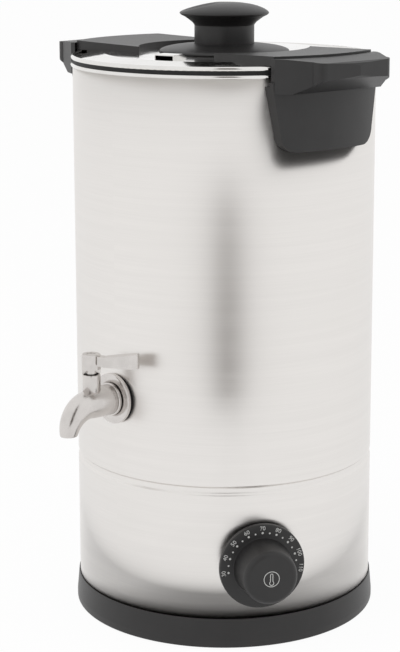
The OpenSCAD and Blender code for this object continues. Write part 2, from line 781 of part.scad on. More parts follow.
// the lip from the side: first coordinate is the distance from the pot's axis, negative
module lip_side() {
    f = handle_reach;
    e = 3;                                  // rounding of the upper front edge
    inside = shell_r - 10;
    polygon([[-inside, lip_top_in], [-shell_r - 5, lip_top_in], [-f + e, lip_top_front], [-f + 0.8, lip_top_front - 1],
        [-f, lip_top_front - e], [-f, lip_top_front - lip_face_h], [-f + 1.6, lip_top_front - lip_face_h - 1.8],
        [-shell_r - apron_t_top, -lip_root_drop], [-inside, -lip_root_drop]]);
}

module handle_right() placed() color([0.2, 0.2, 0.2]) handle(handle_sides[0]);

module handle_left() placed() color([0.2, 0.2, 0.2]) handle(handle_sides[1]);

module handle_screws() placed() color([0.7, 0.7, 0.7]) {
    seat = sqrt(pow(shell_in, 2) - pow(head_d / 2, 2));
    for (side = handle_sides, s = [-1, 1])
        outward(side + s * handle_screw_step, seat, handle_screw_z) screw(5.5);
}

// ---- tap ----

// centre line of the spout in the plane x = 0: distance from the axis and height
function spout_at(s) = let (straight = bend_u - barrel_u, arc = bend_r * PI / 2, d = s * (straight + arc))
    d < straight ? [barrel_u + d, tap_z, 0]
    : let (a = (d - straight) / bend_r * 180 / PI)
        [bend_u + bend_r * sin(a), tap_z - bend_r * (1 - cos(a)), a];

// one ring of points round the centre line, with the radius shrinking towards the mouth
function spout_ring(s, n) = let (p = spout_at(s), r = barrel_r - (barrel_r - mouth_r) * s * s)
    [for (i = [0 : n - 1]) let (t = 360 * i / n, w = r * cos(t))
        [r * sin(t), -(p[0] + w * sin(p[2])), p[1] + w * cos(p[2])]];

module spout_body() {
    sides = 32;
    steps = 14;
    points = [for (k = [0 : steps]) each spout_ring(k / steps, sides)];
    faces = concat(
        [[for (i = [0 : sides - 1]) sides - 1 - i]],
        [for (k = [0 : steps - 1], i = [0 : sides - 1]) let (j = (i + 1) % sides)
            [k * sides + i, k * sides + j, (k + 1) * sides + j, (k + 1) * sides + i]],
        [[for (i = [0 : sides - 1]) steps * sides + i]]);
    polyhedron(points = points, faces = faces, convexity = 4);
}

module tap_body() placed() color([0.78, 0.77, 0.76]) {
    difference() {
        union() {
            outward(0, thread_u, tap_z) cylinder(d = tap_thread_d, h = tap_front - thread_u + eps);
            outward(0, tap_front, tap_z) cylinder(d = collar_d, h = collar_l);
            spout_body();
            translate([0, -tower_u, tap_z]) cylinder(r = tower_r, h = tower_top - tap_z);
            // the stop that the lever's hub swings about
            translate([0, -tower_u, 0]) rotate([0, 0, stop_angle]) intersection() {
                translate([stem_r + 1.2, -stop_w / 2, tower_top - 1]) cube([5, stop_w, hub_recess + 0.6]);
                translate([0, 0, tower_top - 1]) cylinder(r = tower_r, h = hub_recess + 2);
            }
        }
        outward(0, thread_u - eps, tap_z) cylinder(r = passage_r, h = bend_u - thread_u + eps);
        translate([0, -bend_u, tap_z - bend_r]) rotate([90, 0, 90]) rotate([0, 0, 90])
            rotate_extrude(angle = 90) translate([bend_r, 0]) circle(r = passage_r);
        translate([0, -spout_reach, mouth_z - eps]) cylinder(r = mouth_bore_r, h = mouth_bore_l + eps);
        translate([0, -tower_u, plug_z0 - 0.2])
            cylinder(r = plug_r + run_clear, h = tower_top - plug_z0 + 10);
    }
}

module tap_flange() placed() color([0.80, 0.79, 0.78]) {
    outward(0, shell_r + flange_gap, tap_z) difference() {
        union() {
            cylinder(d = flange_d, h = flange_t - 0.8);
            translate([0, 0, flange_t - 0.8]) cylinder(d1 = flange_d, d2 = flange_d - 1.6, h = 0.8);
        }
        translate([0, 0, -eps]) cylinder(r = tap_thread_d / 2 + seat_clear, h = flange_t + 2 * eps);
    }
}

module flat_washer(r, h) {
    difference() {
        cylinder(r = r, h = h);
        translate([0, 0, -eps]) cylinder(r = tap_thread_d / 2 + seat_clear, h = h + 2 * eps);
    }
}

module tap_washer() placed() color([0.15, 0.15, 0.15]) {
    outward(0, shell_r + 0.02, tap_z) flat_washer(flange_d / 2 - 1, flange_gap - 0.02);
}

module tap_inner_washer() placed() color([0.8, 0.45, 0.3]) {
    outward(0, nut_u, tap_z) flat_washer(inner_washer_r, inner_washer_t);
}

module tap_lock_nut() placed() color([0.78, 0.77, 0.76]) {
    outward(0, nut_u - lock_nut_t, tap_z) rotate([0, 0, 30])
        hex_nut(lock_nut_w, tap_thread_d + 2 * seat_clear, lock_nut_t);
}

module tap_bonnet() placed() color([0.78, 0.77, 0.76]) {
    translate([0, -tower_u, tower_top - bonnet_h]) difference() {
        cylinder(r = plug_r + run_clear - seat_clear, h = bonnet_h);
        translate([0, 0, -eps]) cylinder(r = stem_r + run_clear, h = bonnet_h + 2 * eps);
    }
}

module valve_plug() placed() color([0.72, 0.71, 0.70]) {
    difference() {
        translate([0, -tower_u, plug_z0]) cylinder(r = plug_r, h = plug_z1 - plug_z0);
        outward(0, tower_u - plug_r - 1, tap_z) cylinder(r = passage_r, h = 2 * plug_r + 2);
    }
}

module tap_stem() placed() color([0.72, 0.71, 0.70]) {
    translate([0, -tower_u, plug_z1]) cylinder(r = stem_r, h = hub_z + hub_h - 3 - plug_z1);
}

module stem_seal() placed() color([0.12, 0.12, 0.12]) {
    ring_r = (plug_r - stem_r) / 2 - 0.3;
    translate([0, -tower_u, tower_top - bonnet_h - 0.1 - ring_r])
        rotate_extrude() translate([(plug_r + stem_r) / 2 + 0.05, 0]) circle(r = ring_r);
}

module tap_lever() placed() color([0.80, 0.79, 0.78]) {
    gap = 12;                               // play of the notch past the lever's turn, in degrees
    translate([0, -tower_u, hub_z]) difference() {
        union() {
            difference() {
                union() {
                    cylinder(r = hub_r, h = hub_h - 0.8);
                    translate([0, 0, hub_h - 0.8]) cylinder(r1 = hub_r, r2 = hub_r - 0.7, h = 0.8);
                }
                // the notch that the stop stands in, open over the lever's whole turn
                rotate([0, 0, stop_angle]) translate([0, 0, -eps])
                    notch(lever_turn + gap + stop_half(), stop_half() + gap, hub_recess + eps);
            }
            rotate([0, 0, lever_angle]) lever_arm();
        }
        translate([0, 0, -eps]) cylinder(r = stem_r + seat_clear, h = hub_h - 3 + eps);
        translate([0, 0, hub_h - 3.5]) cylinder(r = 1.6 + seat_clear, h = 4);
        translate([0, 0, hub_h - 1.4]) cylinder(r = 3.2 + seat_clear, h = 2);
    }
}

// half the angle that the stop takes up, as seen from the lever's axis
function stop_half() = asin(stop_w / 2 / (stem_r + 1.2));

// sector of a ring, from -back to +ahead degrees about local +X
module notch(ahead, back, h) {
    rotate([0, 0, -back]) rotate_extrude(angle = ahead + back)
        translate([stem_r + 1, 0]) square([hub_r, h]);
}

module lever_arm() {
    neck = hub_r + 4;
    z0 = hub_h - lever_h_hub - 1;
    intersection() {
        union() {
            translate([2 + stem_r, -lever_w * 0.32, 0]) cube([neck, lever_w * 0.64, 40]);
            translate([neck, -lever_w / 2, 0]) cube([lever_l - neck - lever_w / 2, lever_w, 40]);
            translate([lever_l - lever_w / 2, 0, 0]) cylinder(d = lever_w, h = 40);
        }
        rotate([90, 0, 0]) linear_extrude(height = lever_w + 4, center = true) polygon([
            [stem_r, z0], [neck, z0], [lever_l + 1, z0 + lever_rise + (lever_h_hub - lever_h_end) / 2],
            [lever_l + 1, z0 + lever_rise + (lever_h_hub + lever_h_end) / 2], [neck, z0 + lever_h_hub],
            [stem_r, z0 + lever_h_hub]]);
    }
}

module lever_screw() placed() color([0.72, 0.71, 0.70]) {
    translate([0, -tower_u, hub_z + hub_h - 3]) {
        cylinder(r = 1.6, h = 2);
        translate([0, 0, 1.6]) cylinder(r = 3.2, h = 1.1);
    }
}

// ---- dial and thermostat ----

function neck_r() = shaft_r + 2;

module thermostat_body() placed() color([0.85, 0.85, 0.83]) {
    outward(dial_azimuth, 0, dial_z) difference() {
        union() {
            translate([-case_w / 2, -case_w / 2, case_front - case_l]) cube([case_w, case_w, case_l]);
            translate([0, 0, case_front - 1]) cylinder(r = neck_r(), h = dial_back + 0.6 - case_front + 1);
        }
        translate([0, 0, case_front - 8]) cylinder(r = shaft_r + run_clear, h = 40);
        for (s = [-1, 1]) translate([s * case_screw_x, 0, case_front - 7])
            cylinder(r = screw_d / 2 + seat_clear, h = 8);
    }
}

module thermostat_bracket() placed() color([0.7, 0.7, 0.72]) {
    outward(dial_azimuth, 0, dial_z) difference() {
        translate([-case_w / 2 - 2, -case_w / 2 + 4, case_front])
            cube([case_w + 4, case_w - 8, bracket_t]);
        translate([0, 0, case_front - eps]) {
            cylinder(r = neck_r() + hole_clear, h = bracket_t + 2 * eps);
            for (s = [-1, 1]) translate([s * case_screw_x, 0, 0])
                cylinder(r = screw_d / 2 + hole_clear, h = bracket_t + 2 * eps);
        }
    }
}

module thermostat_spacers() placed() color([0.7, 0.7, 0.72]) {
    // the outer side of each flat end meets the round wall of the shell
    end = sqrt(pow(shell_in, 2) - pow(case_screw_x + head_d / 2, 2)) - 0.02;
    outward(dial_azimuth, 0, dial_z) for (s = [-1, 1]) translate([s * case_screw_x, 0, 0])
        tube(head_d / 2, screw_d / 2 + hole_clear, case_front + bracket_t, end);
}

module thermostat_screws() placed() color([0.7, 0.7, 0.7]) {
    seat = sqrt(pow(shell_r, 2) - pow(case_screw_x - head_d / 2, 2)) + 0.05;
    outward(dial_azimuth, 0, dial_z) for (s = [-1, 1])
        translate([s * case_screw_x, 0, seat]) rotate([0, 180, 0]) screw(seat - case_front + 6, hh = 1.6);
}

module thermostat_shaft() placed() color([0.72, 0.71, 0.70]) {
    outward(dial_azimuth, 0, dial_z) translate([0, 0, case_front - 7])
        cylinder(r = shaft_r, h = shaft_end - case_front + 7);
}

module thermostat_bulb() placed() color([0.72, 0.45, 0.25]) {
    outward(dial_azimuth, 0, 0) {
        translate([-bulb_l / 2, bulb_z, bulb_u]) rotate([0, 90, 0]) cylinder(r = bulb_r, h = bulb_l);
        wire([[bulb_l / 2 - 1, bulb_z, bulb_u], [bulb_bend, bulb_z, bulb_u],
            [bulb_bend, bulb_z - 30, bulb_u], [10, dial_z + case_w / 2 + 12, case_front - 8],
            [10, dial_z + case_w / 2, case_front - 8]], 1.1);
    }
}

module bulb_clip() placed() color([0.7, 0.7, 0.72]) {
    w = 8;
    outward(dial_azimuth, 0, 0) translate([0, 0, bulb_u]) difference() {
        translate([-w / 2, bulb_z - bulb_r - 1, -bulb_r - 1.2])
            cube([w, plate_bottom - bulb_z + bulb_r + 1, 2 * bulb_r + 2.4]);
        translate([-w / 2 - eps, bulb_z, 0]) rotate([0, 90, 0])
            cylinder(r = bulb_r + seat_clear, h = w + 2 * eps);
    }
}

module dial_knob() placed() color([0.16, 0.16, 0.16]) {
    grip_z = skirt_front + grip_l;
    outward(dial_azimuth, 0, dial_z) difference() {
        union() {
            rotate_extrude() polygon([[0, dial_back], [skirt_d / 2 - 0.5, dial_back],
                [skirt_d / 2, dial_back + 0.5], [skirt_d / 2, skirt_front - 0.8],
                [skirt_d / 2 - 0.8, skirt_front], [grip_d_root / 2, skirt_front],
                [grip_d_front / 2, grip_z - grip_round],
                [grip_d_front / 2 - grip_round * 0.13, grip_z - grip_round * 0.5],
                [grip_d_front / 2 - grip_round * 0.5, grip_z - grip_round * 0.13],
                [grip_d_front / 2 - grip_round, grip_z], [0, grip_z]]);
        }
        translate([0, 0, dial_back - eps]) cylinder(r = case_screw_x + head_d / 2 + 3, h = skirt_recess + eps);
        translate([0, 0, dial_back - eps]) cylinder(r = shaft_r + seat_clear, h = shaft_end - dial_back + eps);
    }
}

// ---- power inlet ----

module inlet_cut() {
    outward(180, shell_in - 6, inlet_z)
        translate([-inlet_body_w / 2 - 0.3, -inlet_body_h / 2 - 0.3, 0])
            cube([inlet_body_w + 0.6, inlet_body_h + 0.6, 30]);
}

module inlet_screw_holes(r, h) {
    for (s = [-1, 1]) translate([s * inlet_screw_x, 0, 0]) cylinder(r = r, h = h);
}

module inlet_bezel() placed() color([0.15, 0.15, 0.15]) {
    w = inlet_w / 2 + 4;
    h = inlet_h / 2 + 4;
    c = 3;
    difference() {
        outward(180, shell_r - 6, inlet_z) linear_extrude(height = bezel_proud + 6)
            polygon([[-w, c - h], [c - w, -h], [w - c, -h], [w, c - h], [w, h - c], [w - c, h], [c - w, h], [-w, h - c]]);
        translate([0, 0, inlet_z - 40]) cylinder(r = shell_r + 0.02, h = 80, $fn = 360);
        inlet_cut();
        outward(180, shell_r - 8, inlet_z) inlet_screw_holes(screw_d / 2 + hole_clear, 20);
    }
}

module power_inlet() placed() color([0.12, 0.12, 0.12]) {
    outward(180, 0, inlet_z) difference() {
        union() {
            translate([-inlet_w / 2, -inlet_h / 2, bezel_front]) cube([inlet_w, inlet_h, inlet_flange_t]);
            translate([-inlet_body_w / 2, -inlet_body_h / 2, inlet_front - inlet_depth])
                cube([inlet_body_w, inlet_body_h, inlet_depth - inlet_flange_t]);
        }
        translate([-socket_w / 2, -socket_h / 2, inlet_front - socket_depth])
            cube([socket_w, socket_h, socket_depth + eps]);
        for (i = [-1 : 1]) pin_slot(i, 0.05);
        translate([0, 0, bezel_front - eps]) inlet_screw_holes(screw_d / 2 + hole_clear, 10);
    }
}

module pin_slot(i, grow) {
    y = i == 0 ? pin_up : 0;
    translate([i * pin_step - 1 - grow, y - 2 - grow, pin_back])
        cube([2 + 2 * grow, 4 + 2 * grow, pin_tip - pin_back]);
}

module inlet_pins() placed() color([0.8, 0.75, 0.6]) {
    outward(180, 0, inlet_z) for (i = [-1 : 1]) pin_slot(i, 0);
}

module inlet_screws() placed() color([0.7, 0.7, 0.7]) {
    outward(180, 0, inlet_z) for (s = [-1, 1])
        translate([s * inlet_screw_x, 0, inlet_front]) rotate([0, 180, 0]) screw(inlet_flange_t + bezel_proud + screw_past);
}

// ---- lid ----

module lid_disc() placed() color([0.85, 0.85, 0.84]) {
    edge_in = lid_edge_r - 5;
    difference() {
        union() {
            rotate_extrude() {
                polygon([[0, lid_under], [lid_flat_r, lid_under], [edge_in - 1, lid_seat + 1.2], [edge_in, lid_seat],
                    [lid_edge_r, lid_seat], [lid_edge_r, lid_seat + lid_t * 2], [edge_in + 1, lid_seat + lid_t * 2.4],
                    [lid_flat_r, lid_top], [0, lid_top]]);
                translate([lid_edge_r, lid_seat + lid_bead_r]) circle(r = lid_bead_r);
            }
            louvre(0);
        }
        louvre(lid_t);
        translate([0, 0, lid_under - eps]) {
            cylinder(d = 5 + 2 * hole_clear, h = 5);
            wing_screw_places() cylinder(r = 1.5 + hole_clear, h = 5);
        }
    }
}

// a pressed hood over the steam vent, open on its outward side: its solid with inset 0, its hollow with
// the sheet's inset
module louvre(inset) {
    back = louvre_r - louvre_l + inset;
    front = louvre_r + (inset > 0 ? louvre_gap : 0);
    top = lid_top + louvre_h + lid_t - inset;
    low = inset > 0 ? lid_under - 1 : lid_top - lid_t / 2;
    rotate([90, 0, louvre_turn - 90]) translate([0, 0, inset - louvre_w / 2])
        linear_extrude(louvre_w - 2 * inset)
            polygon([[back, low], [back, lid_top - inset], [back + louvre_slope, top], [front, top], [front, low]]);
}

module lid_seal() placed() color([0.1, 0.1, 0.1]) {
    tube(shell_r - 0.2, lid_edge_r - 5, rim_top, lid_seat);
}

module wing_screw_places() {
    for (side = handle_sides, s = [-1, 1]) rotate([0, 0, side]) translate([s * wing_screw_y, -wing_screw_x, 0]) children();
}

// the lid's outer form with everything below it, which the wings are cut to
module lid_envelope() {
    edge_in = lid_edge_r - 5;
    rotate_extrude() {
        polygon([[0, seal_z - 20], [edge_in + 1, seal_z - 20], [edge_in + 1, lid_seat + lid_t * 2.4],
            [lid_flat_r, lid_top], [0, lid_top]]);
        translate([edge_in, seal_z - 20])
            square([rim_r + 0.6 - edge_in, lid_seat + lid_edge_h + 0.1 - seal_z + 20]);
    }
}

module wing(side) {
    top = seal_z + wing_rise;
    rotate([0, 0, side]) difference() {
        union() {
            intersection() {
                rotate_extrude() polygon([[0, seal_z - 10], [wing_outer_r, seal_z - 10], [wing_outer_r, top],
                    [wing_inner_r, top - wing_fall], [0, top - wing_fall]]);
                translate([-wing_half, -wing_outer_r, lid_seat]) cube([2 * wing_half, wing_outer_r - 20, 20]);
                translate([0, 0, lid_seat - 1]) tube(wing_outer_r + 5, wing_inner_r, 0, 40);
            }
            intersection() {
                tube(wing_outer_r, wing_outer_r - tab_t, seal_z - tab_drop, top - wing_fall - 1);
                translate([-tab_half, -wing_outer_r - 1, seal_z - tab_drop])
                    cube([2 * tab_half, wing_outer_r, tab_drop + wing_rise]);
            }
        }
        lid_envelope();
        for (s = [-1, 1]) translate([s * wing_screw_y, -wing_screw_x, lid_top - eps])
            cylinder(r = 1.5 + seat_clear, h = 4);
    }
}

module wing_right() placed() color([0.22, 0.22, 0.22]) wing(handle_sides[0]);

module wing_left() placed() color([0.22, 0.22, 0.22]) wing(handle_sides[1]);

module wing_screws() placed() color([0.7, 0.7, 0.7]) {
    wing_screw_places() translate([0, 0, lid_under]) screw(lid_t + 3, 3, 5.5, 1.6);
}

module lid_knob() placed() color([0.18, 0.18, 0.18]) {
    top = seal_z + knob_top;
    mid = seal_z + cap_mid;
    neck = seal_z + neck_top;
    z0 = brim_z + brim_root;
    r = cap_d / 2;
    difference() {
        rotate_extrude() polygon([[0, z0], [neck_d / 2, z0], [neck_d / 2, neck], [neck_d / 2 + 1.5, neck + 2],
            [r - 4, mid - 2.6], [r - 0.8, mid - 1.2], [r, mid], [r - 0.8, mid + 1.4], [r - 4, mid + 3.4],
            [r - 10, top - 1.8], [r - 18, top - 0.4], [r - 24, top], [0, top]]);
        // a ball set off to one side cuts the dished face
        rotate([0, 0, dish_turn]) translate([0, -30, top + dish_r - 6.5]) sphere(r = dish_r);
        translate([0, 0, z0 - eps]) cylinder(r = 2.5 + seat_clear, h = 14);
    }
}

module knob_brim() placed() color([0.18, 0.18, 0.18]) {
    difference() {
        rotate_extrude() polygon([[0, brim_z], [brim_d / 2 - 0.6, brim_z], [brim_d / 2, brim_z + 0.8],
            [brim_d / 2 - 0.6, brim_z + brim_edge], [neck_d / 2 + 3, brim_z + brim_root], [0, brim_z + brim_root]]);
        translate([0, 0, brim_z - eps]) cylinder(r = 2.5 + hole_clear, h = brim_root + 2 * eps);
    }
}

module knob_screw() placed() color([0.7, 0.7, 0.7]) {
    translate([0, 0, lid_under]) screw(lid_t + brim_root + 13, 5, 10, 2.6);
}

outer_shell();
inner_tank();
insulation_sleeve();
heater_plate();
heating_element();
element_clamp();
heater_studs();
stud_nuts();
heat_shield();
thermal_cutout();
cutout_screws();
base_ring();
base_plate();
base_screws();
rubber_feet();
terminal_block();
terminal_screws();
wiring();
handle_right();
handle_left();
handle_screws();
tap_body();
tap_flange();
tap_washer();
tap_inner_washer();
tap_lock_nut();
tap_bonnet();
valve_plug();
tap_stem();
stem_seal();
tap_lever();
lever_screw();
thermostat_body();
thermostat_bracket();
thermostat_spacers();
thermostat_screws();
thermostat_shaft();
thermostat_bulb();
bulb_clip();
dial_knob();
power_inlet();
inlet_bezel();
inlet_pins();
inlet_screws();
lid_disc();
lid_seal();
wing_right();
wing_left();
wing_screws();
lid_knob();
knob_brim();
knob_screw();
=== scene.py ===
import math

import bmesh
import bpy
import numpy as np
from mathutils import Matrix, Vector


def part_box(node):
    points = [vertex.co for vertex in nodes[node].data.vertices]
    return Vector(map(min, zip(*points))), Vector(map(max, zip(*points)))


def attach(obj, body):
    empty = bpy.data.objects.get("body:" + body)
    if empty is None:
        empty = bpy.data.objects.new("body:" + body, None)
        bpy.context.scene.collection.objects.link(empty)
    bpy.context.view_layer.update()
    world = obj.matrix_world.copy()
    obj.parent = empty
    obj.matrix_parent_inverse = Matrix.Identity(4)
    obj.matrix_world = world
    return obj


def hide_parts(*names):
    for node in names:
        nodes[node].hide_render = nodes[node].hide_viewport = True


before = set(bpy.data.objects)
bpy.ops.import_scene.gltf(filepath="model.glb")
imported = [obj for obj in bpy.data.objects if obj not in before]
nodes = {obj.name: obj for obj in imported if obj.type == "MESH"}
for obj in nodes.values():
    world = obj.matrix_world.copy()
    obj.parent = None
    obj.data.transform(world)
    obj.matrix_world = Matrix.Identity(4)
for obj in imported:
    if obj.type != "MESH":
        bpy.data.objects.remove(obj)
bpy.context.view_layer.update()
shellLow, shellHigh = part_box("outer_shell")
mm = 0.001
mergeWithin = 2e-6               # metres: points nearer than this are one
axisY = (shellLow.y + shellHigh.y) / 2 / mm
shellRadius = (shellHigh.x - shellLow.x) / 2 / mm
sealZ = 408.8                    # height of the line between pot and lid
print("frame loaded: shell radius", round(shellRadius, 2), "mm, axis at y", round(axisY, 2), "mm")


# small tools

def toLinear(hexText):
    # sRGB hex to linear: c/12.92 below 0.04045, else ((c + 0.055)/1.055)^2.4
    srgb = [int(hexText[i:i + 2], 16) / 255 for i in (1, 3, 5)]
    return [c / 12.92 if c <= 0.04045 else ((c + 0.055) / 1.055) ** 2.4 for c in srgb] + [1.0]


def place(points, azimuth=0.0):
    # turns points (sideways, outward, up) to an azimuth from the tap's side and moves them into the frame
    a = math.radians(azimuth)
    w, u, z = points[..., 0], points[..., 1], points[..., 2]
    x = w * math.cos(a) + u * math.sin(a)
    y = w * math.sin(a) - u * math.cos(a) + axisY
    return np.stack([x, y, z], axis=-1) * mm


def grid(points):
    # a surface over a grid of points (rows, columns, 3): quads join neighbours, with the grid as UV map
    rows, cols = points.shape[:2]
    i, j = np.meshgrid(np.arange(rows - 1), np.arange(cols - 1), indexing="ij")
    around = ((0, 0), (1, 0), (1, 1), (0, 1))
    faces = np.stack([(i + down) * cols + j + across for across, down in around], axis=-1)
    corners = [np.stack([(j + across) / (cols - 1), (i + down) / (rows - 1)], -1) for across, down in around]
    corners = np.stack(corners, axis=2).reshape(-1, 4, 2)
    return points.reshape(-1, 3), faces.reshape(-1, 4).tolist(), corners.tolist()


def makePiece(name, parts, material, body, replaced=()):
    # joins closed parts into one mesh, merges their seams and poles, and turns the faces of each outwards
    verts, faces, uvs = [], [], []
    for partVerts, partFaces, partUvs in parts:
        start = sum(len(earlier) for earlier in verts)
        verts.append(partVerts)
        faces += [[k + start for k in face] for face in partFaces]
        uvs += [corner for face in partUvs for corner in face]
    mesh = bpy.data.meshes.new(name)
    mesh.from_pydata(np.concatenate(verts).tolist(), [], faces)
    mesh.uv_layers.new(name="UVMap").data.foreach_set("uv", np.array(uvs, np.float32).ravel())
    mesh.polygons.foreach_set("use_smooth", np.ones(len(faces), bool))
    work = bmesh.new()
    work.from_mesh(mesh)
    bmesh.ops.remove_doubles(work, verts=work.verts, dist=mergeWithin)
    bmesh.ops.dissolve_degenerate(work, edges=work.edges, dist=mergeWithin / 20)
    bmesh.ops.recalc_face_normals(work, faces=work.faces)
    work.to_mesh(mesh)
    work.free()
    mesh.update()
    piece = bpy.data.objects.new(name, mesh)
    bpy.context.scene.collection.objects.link(piece)
    mesh.materials.append(material)
    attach(piece, body)
    if replaced:
        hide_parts(*replaced)
    return piece


def weighted(piece):
    # large faces keep their own normals beside small rounded edges
    fix = piece.modifiers.new("weightedNormals", "WEIGHTED_NORMAL")
    fix.keep_sharp = True
    fix.weight = 80
    return piece


def roundCorners(corners, closed=True, steps=6):
    # a polyline of (a, b, radius): each corner becomes an arc that touches both its sides
    count = len(corners)
    out = []
    for k, (a, b, radius) in enumerate(corners):
        here = np.array([a, b], float)
        if radius <= 0 or (not closed and k in (0, count - 1)):
            out.append(here)
            continue
        before = np.array(corners[k - 1][:2], float) - here
        after = np.array(corners[(k + 1) % count][:2], float) - here
        lb, la = np.linalg.norm(before), np.linalg.norm(after)
        before, after = before / lb, after / la
        half = math.acos(np.clip(np.dot(before, after), -1, 1)) / 2
        reach = min(radius / math.tan(half), 0.49 * lb, 0.49 * la)
        r = reach * math.tan(half)
        middle = (before + after) / np.linalg.norm(before + after)
        centre = here + middle * r / math.sin(half)
        start, end = here + before * reach - centre, here + after * reach - centre
        turn = math.atan2(start[0] * end[1] - start[1] * end[0], np.dot(start, end))
        for s in np.linspace(0, 1, steps + 1):
            c, d = math.cos(turn * s), math.sin(turn * s)
            out.append(centre + np.array([c * start[0] - d * start[1], d * start[0] + c * start[1]]))
    return np.array(out)


def resample(line, count, closed=False):
    # the same line with evenly spaced points
    if closed:
        line = np.vstack([line, line[:1]])
    length = np.concatenate([[0], np.cumsum(np.linalg.norm(np.diff(line, axis=0), axis=1))])
    at = np.linspace(0, length[-1], count + 1 if closed else count)
    out = np.stack([np.interp(at, length, line[:, k]) for k in range(line.shape[1])], axis=-1)
    return out[:-1] if closed else out


def lathe(profile, segments=96, closed=False):
    # turns a profile of (radius, height) about the vertical axis: x = r sin t, y = r cos t
    t = np.linspace(0, 2 * math.pi, segments + 1)
    if closed:
        profile = np.vstack([profile, profile[:1]])
    r, z = profile[:, 0][:, None], profile[:, 1][:, None]
    return np.stack([r * np.sin(t), r * np.cos(t), z + 0 * t], axis=-1)


def potLathe(profile, segments=256, closed=False):
    return grid(place(lathe(profile, segments, closed)))


def outwardLathe(profile, azimuth, height, segments=96, closed=False):
    # turns a profile of (radius, outward distance) about a horizontal axis that points out of the pot
    t = np.linspace(0, 2 * math.pi, segments + 1)
    if closed:
        profile = np.vstack([profile, profile[:1]])
    r, u = profile[:, 0][:, None], profile[:, 1][:, None]
    return grid(place(np.stack([r * np.sin(t), u + 0 * t, height + r * np.cos(t)], axis=-1), azimuth))


def sweep(path, radii, up=(0.0, 0.0, 1.0), sides=48):
    # rings of a circle carried along a path; each ring stands square to the path's direction
    path = np.asarray(path, float)
    along = np.gradient(path, axis=0)
    along /= np.linalg.norm(along, axis=1)[:, None]
    side = np.cross(along, np.asarray(up, float))
    side /= np.linalg.norm(side, axis=1)[:, None]
    top = np.cross(side, along)
    t = np.linspace(0, 2 * math.pi, sides + 1)
    radii = np.broadcast_to(np.asarray(radii, float), (len(path),))[:, None, None]
    across, upward = np.sin(t)[None, :, None] * side[:, None], np.cos(t)[None, :, None] * top[:, None]
    return path[:, None] + radii * (across + upward)


# materials

def addNode(tree, kind, settings=None, **links):
    # one node with its settings; a link names an input socket, by name or as i and its number, and gives a
    # number, a colour or another node's output
    node = tree.nodes.new(kind)
    for key, value in (settings or {}).items():
        setattr(node, key, value)
    for key, value in links.items():
        numbered = key[0] == "i" and key[1:].isdigit()
        socket = node.inputs[int(key[1:]) if numbered else key.replace("_", " ")]
        if isinstance(value, bpy.types.NodeSocket):
            tree.links.new(value, socket)
        else:
            socket.default_value = value
    return node


def newMaterial(name, colour, metallic, roughness, **sockets):
    material = bpy.data.materials.new(name)
    material.use_nodes = True
    tree = material.node_tree
    shader = tree.nodes["Principled BSDF"]
    shader.inputs["Base Color"].default_value = toLinear(colour)
    shader.inputs["Metallic"].default_value = metallic
    shader.inputs["Roughness"].default_value = roughness
    for key, value in sockets.items():
        shader.inputs[key.replace("_", " ")].default_value = value
    return material, tree, shader


def mixColours(tree, factor, first, second):
    node = addNode(tree, "ShaderNodeMix", {"data_type": "RGBA"}, i0=factor)
    for index, value in ((6, first), (7, second)):
        if isinstance(value, bpy.types.NodeSocket):
            tree.links.new(value, node.inputs[index])
        else:
            node.inputs[index].default_value = toLinear(value)
    return node.outputs[2]


def spread(tree, value, low, high, fromLow=0.3, fromHigh=0.7):
    return addNode(tree, "ShaderNodeMapRange", None, Value=value, From_Min=fromLow, From_Max=fromHigh,
                   To_Min=low, To_Max=high).outputs[0]


def noise(tree, vector, size, detail=3.0, rough=0.5, stretch=None):
    # a noise whose grains measure size millimetres; stretch scales x, y and z
    if stretch:
        vector = addNode(tree, "ShaderNodeMapping", None, Vector=vector, Scale=stretch).outputs[0]
    return addNode(tree, "ShaderNodeTexNoise", None, Vector=vector, Scale=1000 / size, Detail=detail,
                   Roughness=rough).outputs["Fac"]


def bumpFrom(tree, height, strength, distance, normal=None):
    links = {"Height": height, "Strength": strength, "Distance": distance * mm}
    if normal is not None:
        links["Normal"] = normal
    return addNode(tree, "ShaderNodeBump", None, **links).outputs[0]


def objectCoords(tree):
    return addNode(tree, "ShaderNodeTexCoord").outputs["Object"]


def aroundPot(tree):
    # angle about the pot's axis and height, so that a grain can run round the pot
    shifted = addNode(tree, "ShaderNodeVectorMath", {"operation": "SUBTRACT"}, i0=objectCoords(tree),
                      i1=(0.0, axisY * mm, 0.0)).outputs[0]
    parts = addNode(tree, "ShaderNodeSeparateXYZ", None, Vector=shifted)
    angle = addNode(tree, "ShaderNodeMath", {"operation": "ARCTAN2"}, i0=parts.outputs[0], i1=parts.outputs[1])
    return angle.outputs[0], parts.outputs[2]


finish = {
    "sheetColour": "#dad6d3",       # brushed sheet under a white room
    "sheetRoughness": 0.30,
    "hairWidth": 0.45,              # mm across a hairline; real ones are 0.1 mm, too fine for this picture
    "hairLength": 60.0,             # mm along a hairline
    "polishColour": "#e4e3e1",
    "polishRoughness": 0.07,
    "castColour": "#cfcbc8",
    "castRoughness": 0.20,
    "plasticColour": "#1e1d1d",
    "plasticRoughness": 0.42,
    "plasticGrain": 0.35,           # mm between the fine pits of the moulded surface
}


